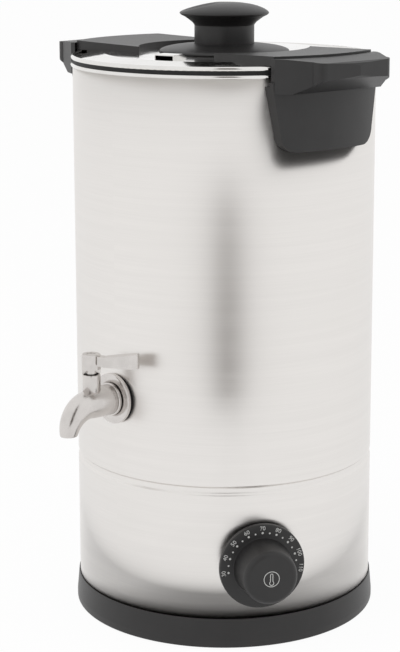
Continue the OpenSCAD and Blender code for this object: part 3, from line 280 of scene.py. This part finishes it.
def brushedSheet():
    # stainless sheet, belt brushed round the pot: hairlines lie level, so reflections stretch up and down
    material, tree, shader = newMaterial("brushedStainlessSheet", finish["sheetColour"], 1.0,
                                         finish["sheetRoughness"], Anisotropic=0.55)
    angle, height = aroundPot(tree)
    # one hairline is long in angle and thin in height
    along = addNode(tree, "ShaderNodeMath", {"operation": "MULTIPLY"}, i0=angle, i1=shellRadius * mm).outputs[0]
    flat = addNode(tree, "ShaderNodeCombineXYZ", None, X=along, Z=height).outputs[0]
    thin = (finish["hairWidth"] / finish["hairLength"], 1.0, 1.0)
    hairs = noise(tree, flat, finish["hairWidth"], 2.0, 0.6, thin)
    broad = noise(tree, flat, 6.0, 2.0, 0.5, (0.02, 1.0, 1.0))
    cloud = noise(tree, objectCoords(tree), 90.0, 2.0)
    half = addNode(tree, "ShaderNodeMath", {"operation": "MULTIPLY"}, i0=hairs, i1=0.5).outputs[0]
    both = addNode(tree, "ShaderNodeMath", {"operation": "MULTIPLY_ADD"}, i0=broad, i1=0.5, i2=half).outputs[0]
    colour = mixColours(tree, spread(tree, both, 0.0, 1.0, 0.4, 0.6), "#e6e3e0", "#eae7e4")
    colour = mixColours(tree, spread(tree, cloud, 0.0, 0.2), colour, "#e2dfdb")
    tree.links.new(colour, shader.inputs["Base Color"])
    tree.links.new(spread(tree, both, 0.28, 0.32, 0.35, 0.65), shader.inputs["Roughness"])
    tree.links.new(bumpFrom(tree, hairs, 0.02, 0.008), shader.inputs["Normal"])
    tangent = addNode(tree, "ShaderNodeTangent", {"direction_type": "UV_MAP", "uv_map": "UVMap"}).outputs[0]
    tree.links.new(tangent, shader.inputs["Tangent"])
    return material


def polishedSheet():
    # stainless sheet, buffed: near mirror, with faint round buffing marks and a few soft smears
    material, tree, shader = newMaterial("polishedStainlessSheet", finish["polishColour"], 1.0,
                                         finish["polishRoughness"])
    where = objectCoords(tree)
    smears = noise(tree, where, 25.0, 3.0, 0.55)
    marks = noise(tree, where, 1.2, 2.0, 0.6, (1.0, 1.0, 3.0))
    colour = mixColours(tree, spread(tree, smears, 0.0, 1.0), "#e6e5e3", "#dedcd9")
    tree.links.new(colour, shader.inputs["Base Color"])
    tree.links.new(spread(tree, smears, 0.05, 0.12), shader.inputs["Roughness"])
    tree.links.new(bumpFrom(tree, marks, 0.03, 0.02), shader.inputs["Normal"])
    return material


def castSteel():
    # cast stainless, satin polished by hand: soft reflections, slight waviness left by the casting
    material, tree, shader = newMaterial("satinCastStainless", finish["castColour"], 1.0,
                                         finish["castRoughness"])
    where = objectCoords(tree)
    wave = noise(tree, where, 9.0, 2.0)
    fine = noise(tree, where, 0.8, 3.0, 0.6)
    colour = mixColours(tree, spread(tree, wave, 0.0, 1.0), "#cdc9c6", "#d6d2cf")
    tree.links.new(colour, shader.inputs["Base Color"])
    tree.links.new(spread(tree, fine, 0.16, 0.26), shader.inputs["Roughness"])
    first = bumpFrom(tree, wave, 0.10, 0.25)
    tree.links.new(bumpFrom(tree, fine, 0.05, 0.03, first), shader.inputs["Normal"])
    return material


def turnedSteel():
    # turned stainless bar: fine rings from the lathe tool about the tap's level axis
    material, tree, shader = newMaterial("turnedStainless", "#d2cfcc", 1.0, 0.2)
    where = objectCoords(tree)
    rings = noise(tree, where, 0.6, 2.0, 0.6, (0.05, 1.0, 0.05))
    tree.links.new(spread(tree, rings, 0.15, 0.28), shader.inputs["Roughness"])
    tree.links.new(bumpFrom(tree, rings, 0.05, 0.02), shader.inputs["Normal"])
    return material


def mouldedBlack(name, colour, paler, roughness, grain, strength=0.10):
    # moulded black thermoplastic with a fine spark-eroded texture: satin, greyer where light grazes it
    material, tree, shader = newMaterial(name, colour, 0.0, roughness, IOR=1.5)
    where = objectCoords(tree)
    pits = noise(tree, where, grain, 2.0, 0.6)
    cloud = noise(tree, where, 18.0, 3.0)
    mixed = mixColours(tree, spread(tree, cloud, 0.0, 1.0), colour, paler)
    tree.links.new(mixed, shader.inputs["Base Color"])
    tree.links.new(spread(tree, pits, roughness - 0.05, roughness + 0.06), shader.inputs["Roughness"])
    tree.links.new(bumpFrom(tree, pits, strength, 0.05), shader.inputs["Normal"])
    return material


def rubber(name, colour, paler):
    # moulded silicone rubber: matt, with a little bloom on its surface
    material, tree, shader = newMaterial(name, colour, 0.0, 0.62, IOR=1.41)
    cloud = noise(tree, objectCoords(tree), 6.0, 4.0)
    mixed = mixColours(tree, spread(tree, cloud, 0.0, 1.0), colour, paler)
    tree.links.new(mixed, shader.inputs["Base Color"])
    grain = noise(tree, objectCoords(tree), 0.5, 2.0)
    tree.links.new(bumpFrom(tree, grain, 0.1, 0.04), shader.inputs["Normal"])
    return material


def plainMetal(name, colour, other, roughness, grain, stretch=None, bump=0.06):
    # metal as it comes from its mill, bath or lathe: two near tones and a fine grain
    material, tree, shader = newMaterial(name, colour, 1.0, roughness)
    where = objectCoords(tree)
    marks = noise(tree, where, grain, 3.0, 0.55, stretch)
    cloud = noise(tree, where, 14.0, 3.0)
    mixed = mixColours(tree, spread(tree, cloud, 0.0, 1.0), colour, other)
    tree.links.new(mixed, shader.inputs["Base Color"])
    tree.links.new(spread(tree, marks, roughness - 0.07, roughness + 0.1), shader.inputs["Roughness"])
    tree.links.new(bumpFrom(tree, marks, bump, 0.04), shader.inputs["Normal"])
    return material


def plainSolid(name, colour, other, roughness, grain, ior=1.5, bump=0.12, stretch=None):
    # moulded or felted matter that isn't metal: two near tones and a fine grain
    material, tree, shader = newMaterial(name, colour, 0.0, roughness, IOR=ior)
    where = objectCoords(tree)
    marks = noise(tree, where, grain, 3.0, 0.6, stretch)
    mixed = mixColours(tree, spread(tree, marks, 0.0, 1.0), colour, other)
    tree.links.new(mixed, shader.inputs["Base Color"])
    tree.links.new(bumpFrom(tree, marks, bump, 0.08), shader.inputs["Normal"])
    return material


def buildMaterials():
    return {
        "brushed": brushedSheet(),
        "polished": polishedSheet(),
        "cast": castSteel(),
        "turned": turnedSteel(),
        "black": mouldedBlack("mouldedBlackNylon", finish["plasticColour"], "#242323",
                              finish["plasticRoughness"], finish["plasticGrain"]),
        "base": mouldedBlack("mouldedBlackBase", "#1b1a1a", "#211f1f", 0.40, 0.3, 0.06),
        "rubber": rubber("mouldedBlackSilicone", "#161616", "#1f1f1f"),
        "redRubber": rubber("mouldedRedSilicone", "#b05a40", "#9c4b35"),
        # gravity cast and milled aluminium: pale, with the cutter's fine marks
        "aluminium": plainMetal("milledAluminium", "#c9cacc", "#bcbec1", 0.32, 0.7, (1.0, 0.08, 1.0)),
        # steel sheath blued by heat: dark, dull, with brown patches
        "sheath": plainMetal("heatBluedSheath", "#5b5350", "#4a4a50", 0.5, 3.0),
        # bright zinc plate: slightly blue and cloudy
        "zinc": plainMetal("zincPlatedSheet", "#bfc3c7", "#aeb3b8", 0.34, 2.5, (1.0, 0.3, 1.0)),
        "screw": plainMetal("zincPlatedScrew", "#c3c5c7", "#b2b6ba", 0.28, 0.5),
        # drawn brass: warm yellow, lightly tarnished
        "brass": plainMetal("drawnBrass", "#d6b36a", "#c49c55", 0.27, 0.8),
        # drawn copper: pink brown with darker oxide
        "copper": plainMetal("drawnCopper", "#cf8f6d", "#b37453", 0.3, 1.5),
        # white heat resistant moulding: faintly warm, smooth
        "white": plainSolid("mouldedWhitePolyamide", "#e0ddd3", "#d6d3c8", 0.45, 4.0),
        # phenolic resin: deep brown, a soft gloss, fine filler specks
        "phenolic": plainSolid("mouldedPhenolic", "#3a2418", "#2c1a11", 0.35, 0.6, 1.62),
        # needled glass fibre: off white, matted short fibres
        "fibre": plainSolid("needledGlassFibre", "#ddd6c2", "#c9c0a8", 0.9, 1.2, 1.45, 0.6, (1.0, 1.0, 3.0)),
        # silicone covered lead: matt red brown with a fine grain
        "wire": plainSolid("siliconeWireCovering", "#a8392c", "#8f2f25", 0.55, 0.8, 1.41),
        # pad printed ink: flat white with thin spots
        "print": plainSolid("padPrintedWhiteInk", "#e6e6e4", "#c9c9c6", 0.55, 0.5, 1.5, 0.03),
    }


materials = buildMaterials()
print("materials:", len(materials))


# camera, room and light

camera = {
    "azimuth": 44.5,             # degrees from the tap's side
    "distance": 1314.1,          # mm from the pot's axis
    "height": 524.1,             # mm above the table
    "pitch": 11.362,             # degrees below level
    "lens": 99.685,              # mm on a 36 mm tall frame
    "axisPixel": (224.35, 260.0),    # where the lens axis meets the picture
    "picture": (400, 652),
}


def addCamera():
    data = bpy.data.cameras.new("photoCamera")
    data.sensor_width = 36
    data.lens = camera["lens"]
    width, height = camera["picture"]
    data.shift_x = (width / 2 - camera["axisPixel"][0]) / height
    data.shift_y = (camera["axisPixel"][1] - height / 2) / height
    data.clip_start, data.clip_end = 0.02, 60
    eye = bpy.data.objects.new("photoCamera", data)
    bpy.context.scene.collection.objects.link(eye)
    a = math.radians(camera["azimuth"])
    d = camera["distance"] * mm
    eye.location = (d * math.sin(a), axisY * mm - d * math.cos(a), camera["height"] * mm)
    eye.rotation_euler = (math.radians(90 - camera["pitch"]), 0, a)
    bpy.context.scene.camera = eye


room = {
    "ambient": 0.62,             # light of the room on the object
    "keyPower": 9.0, "keyAzimuth": -20, "keyHeight": 1.5, "keyDistance": 1.5, "keySize": 0.9,
    "fillPower": 4.0, "fillAzimuth": 115, "fillHeight": 1.0, "fillDistance": 1.6, "fillSize": 1.0,
    "flagAzimuth": 47.0,         # where the dark space behind the photographer stands, from the tap's side
    "flagHalf": 9.0,             # half its width in degrees
    "flagSoft": 6.0,             # degrees over which its edges fade
    "flagTone": "#5a524c",
    "flagTop": (0.75, 0.95),     # sines of the heights between which it fades out overhead
    "floorShare": 0.96,          # how much of the seen floor is its own white; the rest shows the shadow
}


def seenRay(tree):
    # 1 on rays from the camera, a glossy surface or a clear one
    path = addNode(tree, "ShaderNodeLightPath")
    first = addNode(tree, "ShaderNodeMath", {"operation": "MAXIMUM"}, i0=path.outputs["Is Camera Ray"],
                    i1=path.outputs["Is Glossy Ray"]).outputs[0]
    return addNode(tree, "ShaderNodeMath", {"operation": "MAXIMUM"}, i0=first,
                   i1=path.outputs["Is Transmission Ray"]).outputs[0]


def addWorld():
    world = bpy.data.worlds.new("whiteRoom")
    bpy.context.scene.world = world
    world.use_nodes = True
    tree = world.node_tree
    tree.nodes.clear()
    # the dark space behind the photographer: a soft upright band of directions, seen only in reflections
    where = addNode(tree, "ShaderNodeTexCoord").outputs["Generated"]
    parts = addNode(tree, "ShaderNodeSeparateXYZ", None, Vector=where)
    back = addNode(tree, "ShaderNodeMath", {"operation": "MULTIPLY"}, i0=parts.outputs[1], i1=-1.0).outputs[0]
    angle = addNode(tree, "ShaderNodeMath", {"operation": "ARCTAN2"}, i0=parts.outputs[0], i1=back).outputs[0]
    middle, half, soft = (math.radians(room[key]) for key in ("flagAzimuth", "flagHalf", "flagSoft"))
    off = addNode(tree, "ShaderNodeMath", {"operation": "SUBTRACT"}, i0=angle, i1=middle).outputs[0]
    away = addNode(tree, "ShaderNodeMath", {"operation": "ABSOLUTE"}, i0=off).outputs[0]
    band = addNode(tree, "ShaderNodeMapRange", {"interpolation_type": "SMOOTHSTEP"}, Value=away,
                   From_Min=half - soft / 2, From_Max=half + soft / 2, To_Min=1.0, To_Max=0.0).outputs[0]
    fadeFrom, fadeTo = room["flagTop"]
    low = addNode(tree, "ShaderNodeMapRange", {"interpolation_type": "SMOOTHSTEP"}, Value=parts.outputs[2],
                  From_Min=fadeFrom, From_Max=fadeTo, To_Min=1.0, To_Max=0.0).outputs[0]
    glossy = addNode(tree, "ShaderNodeLightPath").outputs["Is Glossy Ray"]
    amount = addNode(tree, "ShaderNodeMath", {"operation": "MULTIPLY"}, i0=band, i1=low).outputs[0]
    amount = addNode(tree, "ShaderNodeMath", {"operation": "MULTIPLY"}, i0=amount, i1=glossy).outputs[0]
    white = mixColours(tree, amount, "#ffffff", room["flagTone"])
    seen = addNode(tree, "ShaderNodeBackground", None, Color=white, Strength=1.0)
    light = addNode(tree, "ShaderNodeBackground", None, Color=(1, 1, 1, 1), Strength=room["ambient"])
    shares = {"i0": seenRay(tree), "i1": light.outputs[0], "i2": seen.outputs[0]}
    mix = addNode(tree, "ShaderNodeMixShader", None, **shares)
    addNode(tree, "ShaderNodeOutputWorld", None, Surface=mix.outputs[0])


def addFloor():
    # a pale table top that runs out of sight: white where it is seen, and it keeps part of the shadow
    verts, faces, uvs = grid(np.array([[[-9, -9, 0], [9, -9, 0]], [[-9, 9, 0], [9, 9, 0]]], float))
    mesh = bpy.data.meshes.new("floor")
    mesh.from_pydata(verts.tolist(), [], faces)
    floor = bpy.data.objects.new("floor", mesh)
    bpy.context.scene.collection.objects.link(floor)
    material = bpy.data.materials.new("paleTableTop")
    material.use_nodes = True
    tree = material.node_tree
    tree.nodes.clear()
    diffuse = addNode(tree, "ShaderNodeBsdfDiffuse", None, Color=(0.9, 0.9, 0.9, 1))
    glow = addNode(tree, "ShaderNodeEmission", None, Color=(1, 1, 1, 1), Strength=1.0)
    share = addNode(tree, "ShaderNodeMath", {"operation": "MULTIPLY"}, i0=seenRay(tree),
                    i1=room["floorShare"]).outputs[0]
    mix = addNode(tree, "ShaderNodeMixShader", None, i0=share, i1=diffuse.outputs[0], i2=glow.outputs[0])
    addNode(tree, "ShaderNodeOutputMaterial", None, Surface=mix.outputs[0])
    mesh.materials.append(material)


def addLamp(name):
    # a square soft lamp; the room's values whose names start like this lamp's place it
    values = (room[name + key] for key in ("Power", "Azimuth", "Height", "Distance", "Size"))
    power, azimuth, height, distance, size = values
    data = bpy.data.lights.new(name + "Light", "AREA")
    data.energy, data.size = power, size
    lamp = bpy.data.objects.new(name + "Light", data)
    bpy.context.scene.collection.objects.link(lamp)
    a = math.radians(azimuth)
    lamp.location = (distance * math.sin(a), axisY * mm - distance * math.cos(a), height)
    aim = np.array([0, axisY * mm, 0.2]) - np.array(lamp.location)
    lamp.rotation_euler = (math.atan2(math.hypot(aim[0], aim[1]), -aim[2]), 0, math.atan2(-aim[0], aim[1]))
    lamp.visible_glossy = False     # its shape doesn't show in the metal, which sees the white room


addCamera()
addWorld()
addFloor()
addLamp("key")
addLamp("fill")
bpy.context.scene.view_settings.view_transform = "Standard"
print("camera, room and lights set")


# shell, tank and base

shell = {
    "wall": 0.8, "foot": 16.8, "top": 404.8,
    "grooveZ": 117.2, "grooveWidth": 6.5, "grooveDepth": 1.5, "grooveRound": 1.3,
}


def buildShell():
    # a turned sheet: straight wall with a pressed groove whose four bends are arcs
    s = shell
    r, low, high = shellRadius, s["grooveZ"] - s["grooveWidth"] / 2, s["grooveZ"] + s["grooveWidth"] / 2
    depth, bend, wall = s["grooveDepth"], s["grooveRound"], s["wall"]
    outer = [(r, s["foot"], 0), (r, low, bend), (r - depth, low + depth, bend),
             (r - depth, high - depth, bend), (r, high, bend), (r, s["top"], 0)]
    inner = [(a - wall, z, rounding) for a, z, rounding in outer[::-1]]
    profile = np.vstack([roundCorners(outer, closed=False, steps=8),
                         roundCorners(inner, closed=False, steps=3)])
    makePiece("brushedShell", [potLathe(profile, 360, closed=True)], materials["brushed"], "vessel",
              ["outer_shell"])


tank = {
    "gap": 5.0, "wall": 0.8, "floor": 157.0, "corner": 8.0,
    "rimHeight": 2.8, "rimProud": 1.4, "rimTop": 407.6, "mouthRound": 1.4,
}


def buildTank():
    # a deep drawn pot: floor, round corner, wall and a rolled rim that covers the shell's edge
    t = tank
    outer = shellRadius - shell["wall"] - t["gap"]
    inner = outer - t["wall"]
    rim = shellRadius + t["rimProud"] - t["rimHeight"] / 2
    rimZ = t["rimTop"] - t["rimHeight"] / 2
    a = np.linspace(-math.pi / 2, math.pi / 2, 13)
    bead = np.stack([rim + t["rimHeight"] / 2 * np.cos(a), rimZ + t["rimHeight"] / 2 * np.sin(a)], axis=-1)
    outside = roundCorners([(0, t["floor"], 0), (outer, t["floor"], t["corner"]),
                            (outer, t["rimTop"] - t["rimHeight"], 0)], closed=False, steps=10)
    floorTop = t["floor"] + t["wall"]
    inside = roundCorners([(inner - 3, t["rimTop"], 0), (inner, t["rimTop"], t["mouthRound"]),
                           (inner, floorTop, t["corner"] - t["wall"]), (0, floorTop, 0)],
                          closed=False, steps=10)
    inside[0] = (rim, t["rimTop"])      # the rim's flat top starts at the middle of its bead
    makePiece("polishedTank", [potLathe(np.vstack([outside, bead, inside]))], materials["polished"], "vessel",
              ["inner_tank"])


base = {
    "height": 22.8, "clear": 1.5, "lip": 0.9, "flare": 2.4, "thickness": 3.1, "flareFrom": 6.8,
    "ledgeZ": 5.2, "ledgeTop": 8.2, "ledgeIn": 93.5,
    "seatDepth": 6.0, "seatOut": 0.1, "seatIn": 0.9,             # the slot that the shell stands in
    "footRound": 1.2, "flareRound": 6.0, "topRound": 0.6, "edge": 0.4, "innerEdge": 0.3, "seatEdge": 0.1,
}


def buildBaseRing():
    # a moulded ring: its outside flares towards the foot, with rounded edges and a slot under the shell
    b = base
    top, foot, inner = shellRadius + b["lip"], shellRadius + b["flare"], shellRadius - b["thickness"]
    seatOut, seatIn = shellRadius + b["seatOut"], shellRadius - b["seatIn"]
    seatZ = b["height"] - b["seatDepth"]
    edge, innerEdge, seatEdge = b["edge"], b["innerEdge"], b["seatEdge"]
    profile = roundCorners([
        (inner, b["clear"], 2 * edge), (foot, b["clear"], b["footRound"]),
        (foot, b["flareFrom"], b["flareRound"]), (top, b["height"], b["topRound"]),
        (seatOut, b["height"], 2 * seatEdge), (seatOut, seatZ, seatEdge),
        (seatIn, seatZ, seatEdge), (seatIn, b["height"], 2 * seatEdge),
        (inner, b["height"], innerEdge), (inner, b["ledgeTop"], b["topRound"]),
        (b["ledgeIn"], b["ledgeTop"], edge), (b["ledgeIn"], b["ledgeZ"], edge),
        (inner, b["ledgeZ"], innerEdge)], steps=5)
    piece = makePiece("mouldedBaseRing", [potLathe(profile, closed=True)], materials["base"], "vessel",
                      ["base_ring"])
    weighted(piece)


buildShell()
buildTank()
buildBaseRing()
print("shell, tank and base ring built")


# dial

dial = {
    "azimuth": 58.0, "z": 62.6, "back": 111.0, "skirtFront": 115.0, "skirtRadius": 30.75, "gripRoot": 21.0,
    "gripRadius": 19.0, "gripFront": 140.0, "gripRound": 4.0,
    "dotCircle": 24.7, "numberCircle": 28.0, "digitHeight": 3.1, "perDegree": 2.4, "middle": 70, "ink": 0.08,
    "scale": (30, 110), "bigDot": 0.8, "smallDot": 0.65,
    "signRadius": 5.45, "signLine": 0.25, "signFlat": 0.4,
    "bulbRadius": 1.5, "bulbDown": 2.9, "stemHalf": 0.86, "stemUp": 3.1,
    "bulbOpen": 35,                  # half the angle over which the stem leaves the bulb
}
emPerDigit = 1.38                    # the font's size over the height of its digits


def onDial(x, y, out):
    # a point of the dial's face: x to the right, y up, out away from the pot
    return place(np.stack([np.asarray(x, float), np.asarray(out, float) + 0 * np.asarray(x, float),
                           dial["z"] + np.asarray(y, float)], axis=-1), dial["azimuth"])


def printedNumber(words, turn):
    # the digits as a thin raised layer of ink, turned clockwise with their place on the scale
    curve = bpy.data.curves.new("digits", "FONT")
    curve.body, curve.size = words, dial["digitHeight"] * emPerDigit
    curve.align_x = curve.align_y = "CENTER"
    curve.extrude, curve.resolution_u = dial["ink"], 3
    holder = bpy.data.objects.new("digits", curve)
    bpy.context.scene.collection.objects.link(holder)
    mesh = bpy.data.meshes.new_from_object(holder.evaluated_get(bpy.context.evaluated_depsgraph_get()))
    verts = np.array([v.co[:] for v in mesh.vertices])
    faces = [list(f.vertices) for f in mesh.polygons]
    bpy.data.objects.remove(holder)
    c, d = math.cos(turn), math.sin(turn)
    x = verts[:, 0] * c + (verts[:, 1] + dial["numberCircle"]) * d
    y = -verts[:, 0] * d + (verts[:, 1] + dial["numberCircle"]) * c
    return onDial(x, y, dial["skirtFront"] + verts[:, 2]), faces, [[[0.5, 0.5]] * len(f) for f in faces]


def printedDot(turn, radius):
    # a round dot of ink: a low disc with a rounded edge
    t = np.linspace(0, 2 * math.pi, 17)[None, :]
    r = np.array([0, radius * 0.85, radius, radius, 0])[:, None]
    out = dial["skirtFront"] + np.array([1, 1, 0.4, -1, -1])[:, None] * dial["ink"] + 0 * t
    x, y = dial["dotCircle"] * math.sin(turn), dial["dotCircle"] * math.cos(turn)
    return grid(onDial(x + r * np.sin(t), y + r * np.cos(t), out))


def printedLine(x, y):
    # a line of ink along a closed path on the end of the grip
    path = np.stack([x, 0 * x + dial["gripFront"], y], axis=-1)
    rings = sweep(np.vstack([path[-1:], path, path[:1]]), dial["signLine"], up=(0, 1, 0), sides=10)[1:]
    rings[-1] = rings[0]
    out = dial["gripFront"] + (rings[..., 1] - dial["gripFront"]) * dial["signFlat"]
    return grid(onDial(rings[..., 0], rings[..., 2], out))


def buildDial():
    # skirt and grip turned from one profile; the ink is raised a little and rides with them
    d = dial
    profile = roundCorners([
        (0, d["back"], 0), (d["skirtRadius"], d["back"], 0.4), (d["skirtRadius"], d["skirtFront"], 1.0),
        (d["gripRoot"], d["skirtFront"], 0.5), (d["gripRadius"], d["gripFront"], d["gripRound"]),
        (0, d["gripFront"], 0)], closed=False, steps=8)
    makePiece("dialKnob", [outwardLathe(profile, d["azimuth"], d["z"], 160)], materials["black"], "dial",
              ["dial_knob"])
    low, high = d["scale"]
    turns = {value: math.radians((value - d["middle"]) * d["perDegree"]) for value in range(low, high + 1, 5)}
    parts = [printedDot(turn, d["smallDot"] if value % 10 else d["bigDot"])
             for value, turn in turns.items() if value < high]
    parts += [printedNumber(str(value), turn) for value, turn in turns.items() if value % 10 == 0]
    t = np.linspace(0, 2 * math.pi, 49)[:-1]
    parts.append(printedLine(d["signRadius"] * np.sin(t), d["signRadius"] * np.cos(t)))
    # the thermometer's outline: a round bulb below and a slim stem with a round top
    bulb = np.radians(np.linspace(d["bulbOpen"], 360 - d["bulbOpen"], 21))
    stem = np.linspace(-math.pi / 2, math.pi / 2, 13)
    wide, slim = d["bulbRadius"], d["stemHalf"]
    x = np.concatenate([wide * np.sin(bulb), slim * np.sin(stem)])
    y = np.concatenate([wide * np.cos(bulb) - d["bulbDown"], slim * np.cos(stem) + d["stemUp"]])
    parts.append(printedLine(*resample(np.stack([x, y], -1), 72, closed=True).T))
    makePiece("dialMarks", parts, materials["print"], "dial")


# knob and brim of the lid

knob = {
    # (radius, height over the sealing line) up the side, over the dome, and of the brim over the lid
    "profile": [(0, 10.7), (21.7, 10.7), (21.7, 25.0), (23.2, 27.0), (28.4, 31.0), (31.6, 32.4),
                (32.4, 33.6)],
    "dome": [(32.4, 33.6), (31.6, 35.0), (28.4, 37.0), (22.4, 39.2), (14.4, 40.6), (8.4, 41.0), (0, 41.0)],
    "dishX": -21.2, "dishY": -21.2, "dishZ": 94.5, "dishRadius": 60.0, "soft": 0.22,
    "brim": [(21.7, 5.7), (21.7, 5.9), (26, 5.55), (33, 4.9), (39, 4.1), (43.5, 3.1), (46.2, 2.0),
             (47.25, 1.0), (47.0, 0.3), (46.4, 0.05), (21.7, 0.05)],
    "lidTop": 414.5,
}


def smoothLine(points, count, rounds=2):
    # cuts the corners of a polyline a few times, then spaces its points evenly; the ends stay
    line = np.array(points, float)
    for _ in range(rounds):
        a, b = line[:-1], line[1:]
        cut = np.stack([0.75 * a + 0.25 * b, 0.25 * a + 0.75 * b], axis=1).reshape(-1, line.shape[1])
        line = np.vstack([line[:1], cut, line[-1:]])
    return resample(line, count)


def buildKnob():
    # turned below; above, the lower of the dome and a hollow sphere: z = -k log(exp(-dome/k) + exp(-dish/k))
    k = knob
    side = np.vstack([roundCorners([(r, z, 0.8) for r, z in k["profile"][:4]], closed=False, steps=5)[:-1],
                      smoothLine(k["profile"][3:], 24)])
    top = smoothLine(k["dome"], 90)
    points = lathe(np.vstack([side, top[1:]]), 192)
    x, y, z = points[len(side):, :, 0], points[len(side):, :, 1], points[len(side):, :, 2]
    # beyond the sphere's own radius the hollow stays above the dome
    aside = (x - k["dishX"]) ** 2 + (-y - k["dishY"]) ** 2
    dish = k["dishZ"] - np.sqrt(np.maximum(k["dishRadius"] ** 2 - aside, 0))
    points[len(side):, :, 2] = np.minimum(z, -k["soft"] * np.logaddexp(-z / k["soft"], -dish / k["soft"]))
    points[..., 2] += sealZ
    makePiece("lidKnob", [grid(place(points))], materials["black"], "lid", ["lid_knob"])
    brim = np.array([(r, z + k["lidTop"]) for r, z in k["brim"]])
    brim = np.vstack([brim[:1], smoothLine(brim[1:-1], 60, 1), brim[-1:]])
    makePiece("knobBrim", [potLathe(brim, 192, closed=True)], materials["black"], "lid",
              ["knob_brim"])


# tap

tap = {
    "z": 176.5, "rootU": 100.0, "barrelU": 116.9, "bendU": 135.0, "bendRadius": 19.0, "barrelRadius": 10.9,
    "mouthRadius": 6.1, "bore": 4.8, "boreRows": 14, "threadRadius": 8.0,
    "collarRadius": 11.75, "collarWidth": 2.4, "towerU": 132.5, "towerRadius": 6.4, "towerTop": 198.0,
    "flangeRadius": 18.0, "flangeBack": 111.5, "flangeFront": 114.5, "flangeRound": 0.7,
    "edge": 0.5,
}


def buildTap():
    # rings along the spout's centre line; the radius shrinks with the square of the way: R - (R - r) s^2
    t = tap
    straight, arc = t["bendU"] - t["barrelU"], t["bendRadius"] * math.pi / 2
    way = np.linspace(0, 1, 60)
    run = way * (straight + arc)
    a = np.clip((run - straight) / t["bendRadius"], 0, None)
    u = np.where(run < straight, t["barrelU"] + run, t["bendU"] + t["bendRadius"] * np.sin(a))
    z = t["z"] - t["bendRadius"] * (1 - np.cos(a))
    path = np.stack([0 * u, u, z], axis=-1)
    radii = t["barrelRadius"] - (t["barrelRadius"] - t["mouthRadius"]) * way ** 2
    ahead = np.stack([0 * a, np.cos(a), -np.sin(a)], axis=-1)
    upward = np.stack([0 * a, np.sin(a), np.cos(a)], axis=-1)
    angle = np.linspace(0, 2 * math.pi, 65)

    def rings(index, radius, shift=0.0):
        # a ring square to the centre line at one of its points
        across, up = np.sin(angle)[:, None] * np.array([[1.0, 0, 0]]), np.cos(angle)[:, None] * upward[index]
        return path[index] + shift * ahead[index] + radius * (across + up)

    # closed at the root, then the outside, the rounded lip of the mouth and the bore with its end
    rows = [rings(0, 0.0, -1.0), rings(0, radii[0] - 0.6), rings(0, radii[0], t["edge"])]
    rows += [rings(k, radii[k]) for k in range(3, len(way) - 1)]
    rows += [rings(-1, radii[-1], -t["edge"]), rings(-1, radii[-1] - 0.15, -0.1),
             rings(-1, radii[-1] - t["edge"]), rings(-1, t["bore"] + 0.2), rings(-1, t["bore"], -0.3),
             rings(-t["boreRows"], t["bore"]), rings(-t["boreRows"], 0.0)]
    spout = grid(place(np.array(rows)))

    def turned(radius, start, end, startEdge, endEdge):
        # a solid bar's profile with its two rims rounded
        return roundCorners([(0, start, 0), (radius, start, startEdge), (radius, end, endEdge), (0, end, 0)],
                            closed=False, steps=4)

    edge, root, back = t["edge"], t["barrelU"], t["barrelU"] - t["collarWidth"]
    post = lathe(turned(t["towerRadius"], t["z"], t["towerTop"], 0, edge), 64)
    post[..., 1] += t["towerU"]
    collar = outwardLathe(turned(t["collarRadius"], back, root, edge, edge), 0, t["z"], 96)
    thread = outwardLathe(turned(t["threadRadius"], t["rootU"], root, edge, 0), 0, t["z"], 64)
    makePiece("castTap", [spout, grid(place(post)), collar, thread], materials["cast"], "vessel",
              ["tap_body"])
    plate = roundCorners([(t["threadRadius"], t["flangeBack"], 0), (t["flangeRadius"], t["flangeBack"], edge),
                          (t["flangeRadius"], t["flangeFront"], t["flangeRound"]),
                          (t["threadRadius"], t["flangeFront"], 0)], steps=5)
    makePiece("tapCoverPlate", [outwardLathe(plate, 0, t["z"], 128, closed=True)], materials["cast"], "vessel",
              ["tap_flange"])


buildDial()
buildKnob()
buildTap()
print("dial, knob, brim and tap built")


# materials of the nodes that stay as they are

nodeFinish = {
    "zinc": ["heat_shield", "element_clamp", "base_plate", "thermostat_bracket", "thermostat_spacers",
             "bulb_clip", "thermostat_body"],
    "screw": ["heater_studs", "stud_nuts", "cutout_screws", "base_screws", "handle_screws",
              "thermostat_screws", "inlet_screws", "wing_screws", "knob_screw"],
    "fibre": ["insulation_sleeve"], "aluminium": ["heater_plate"], "sheath": ["heating_element"],
    "phenolic": ["thermal_cutout"], "white": ["terminal_block"], "wire": ["wiring"],
    "brass": ["terminal_screws", "inlet_pins"], "copper": ["thermostat_bulb"],
    "rubber": ["rubber_feet", "tap_washer", "stem_seal", "lid_seal"], "redRubber": ["tap_inner_washer"],
    "cast": ["tap_body", "tap_lever"],
    "turned": ["tap_flange", "tap_lock_nut", "tap_bonnet", "valve_plug", "tap_stem", "lever_screw",
               "thermostat_shaft"],
    "black": ["handle_right", "handle_left", "wing_right", "wing_left", "lid_knob", "knob_brim", "dial_knob",
              "power_inlet", "inlet_bezel"],
    "base": ["base_ring"], "polished": ["lid_disc", "inner_tank"], "brushed": ["outer_shell"],
}
for finishName, members in nodeFinish.items():
    for member in members:
        for holder in nodes[member].material_slots:
            holder.material = materials[finishName]
missing = sorted(set(nodes) - {m for group in nodeFinish.values() for m in group})
print("node finishes set; without one:", missing)
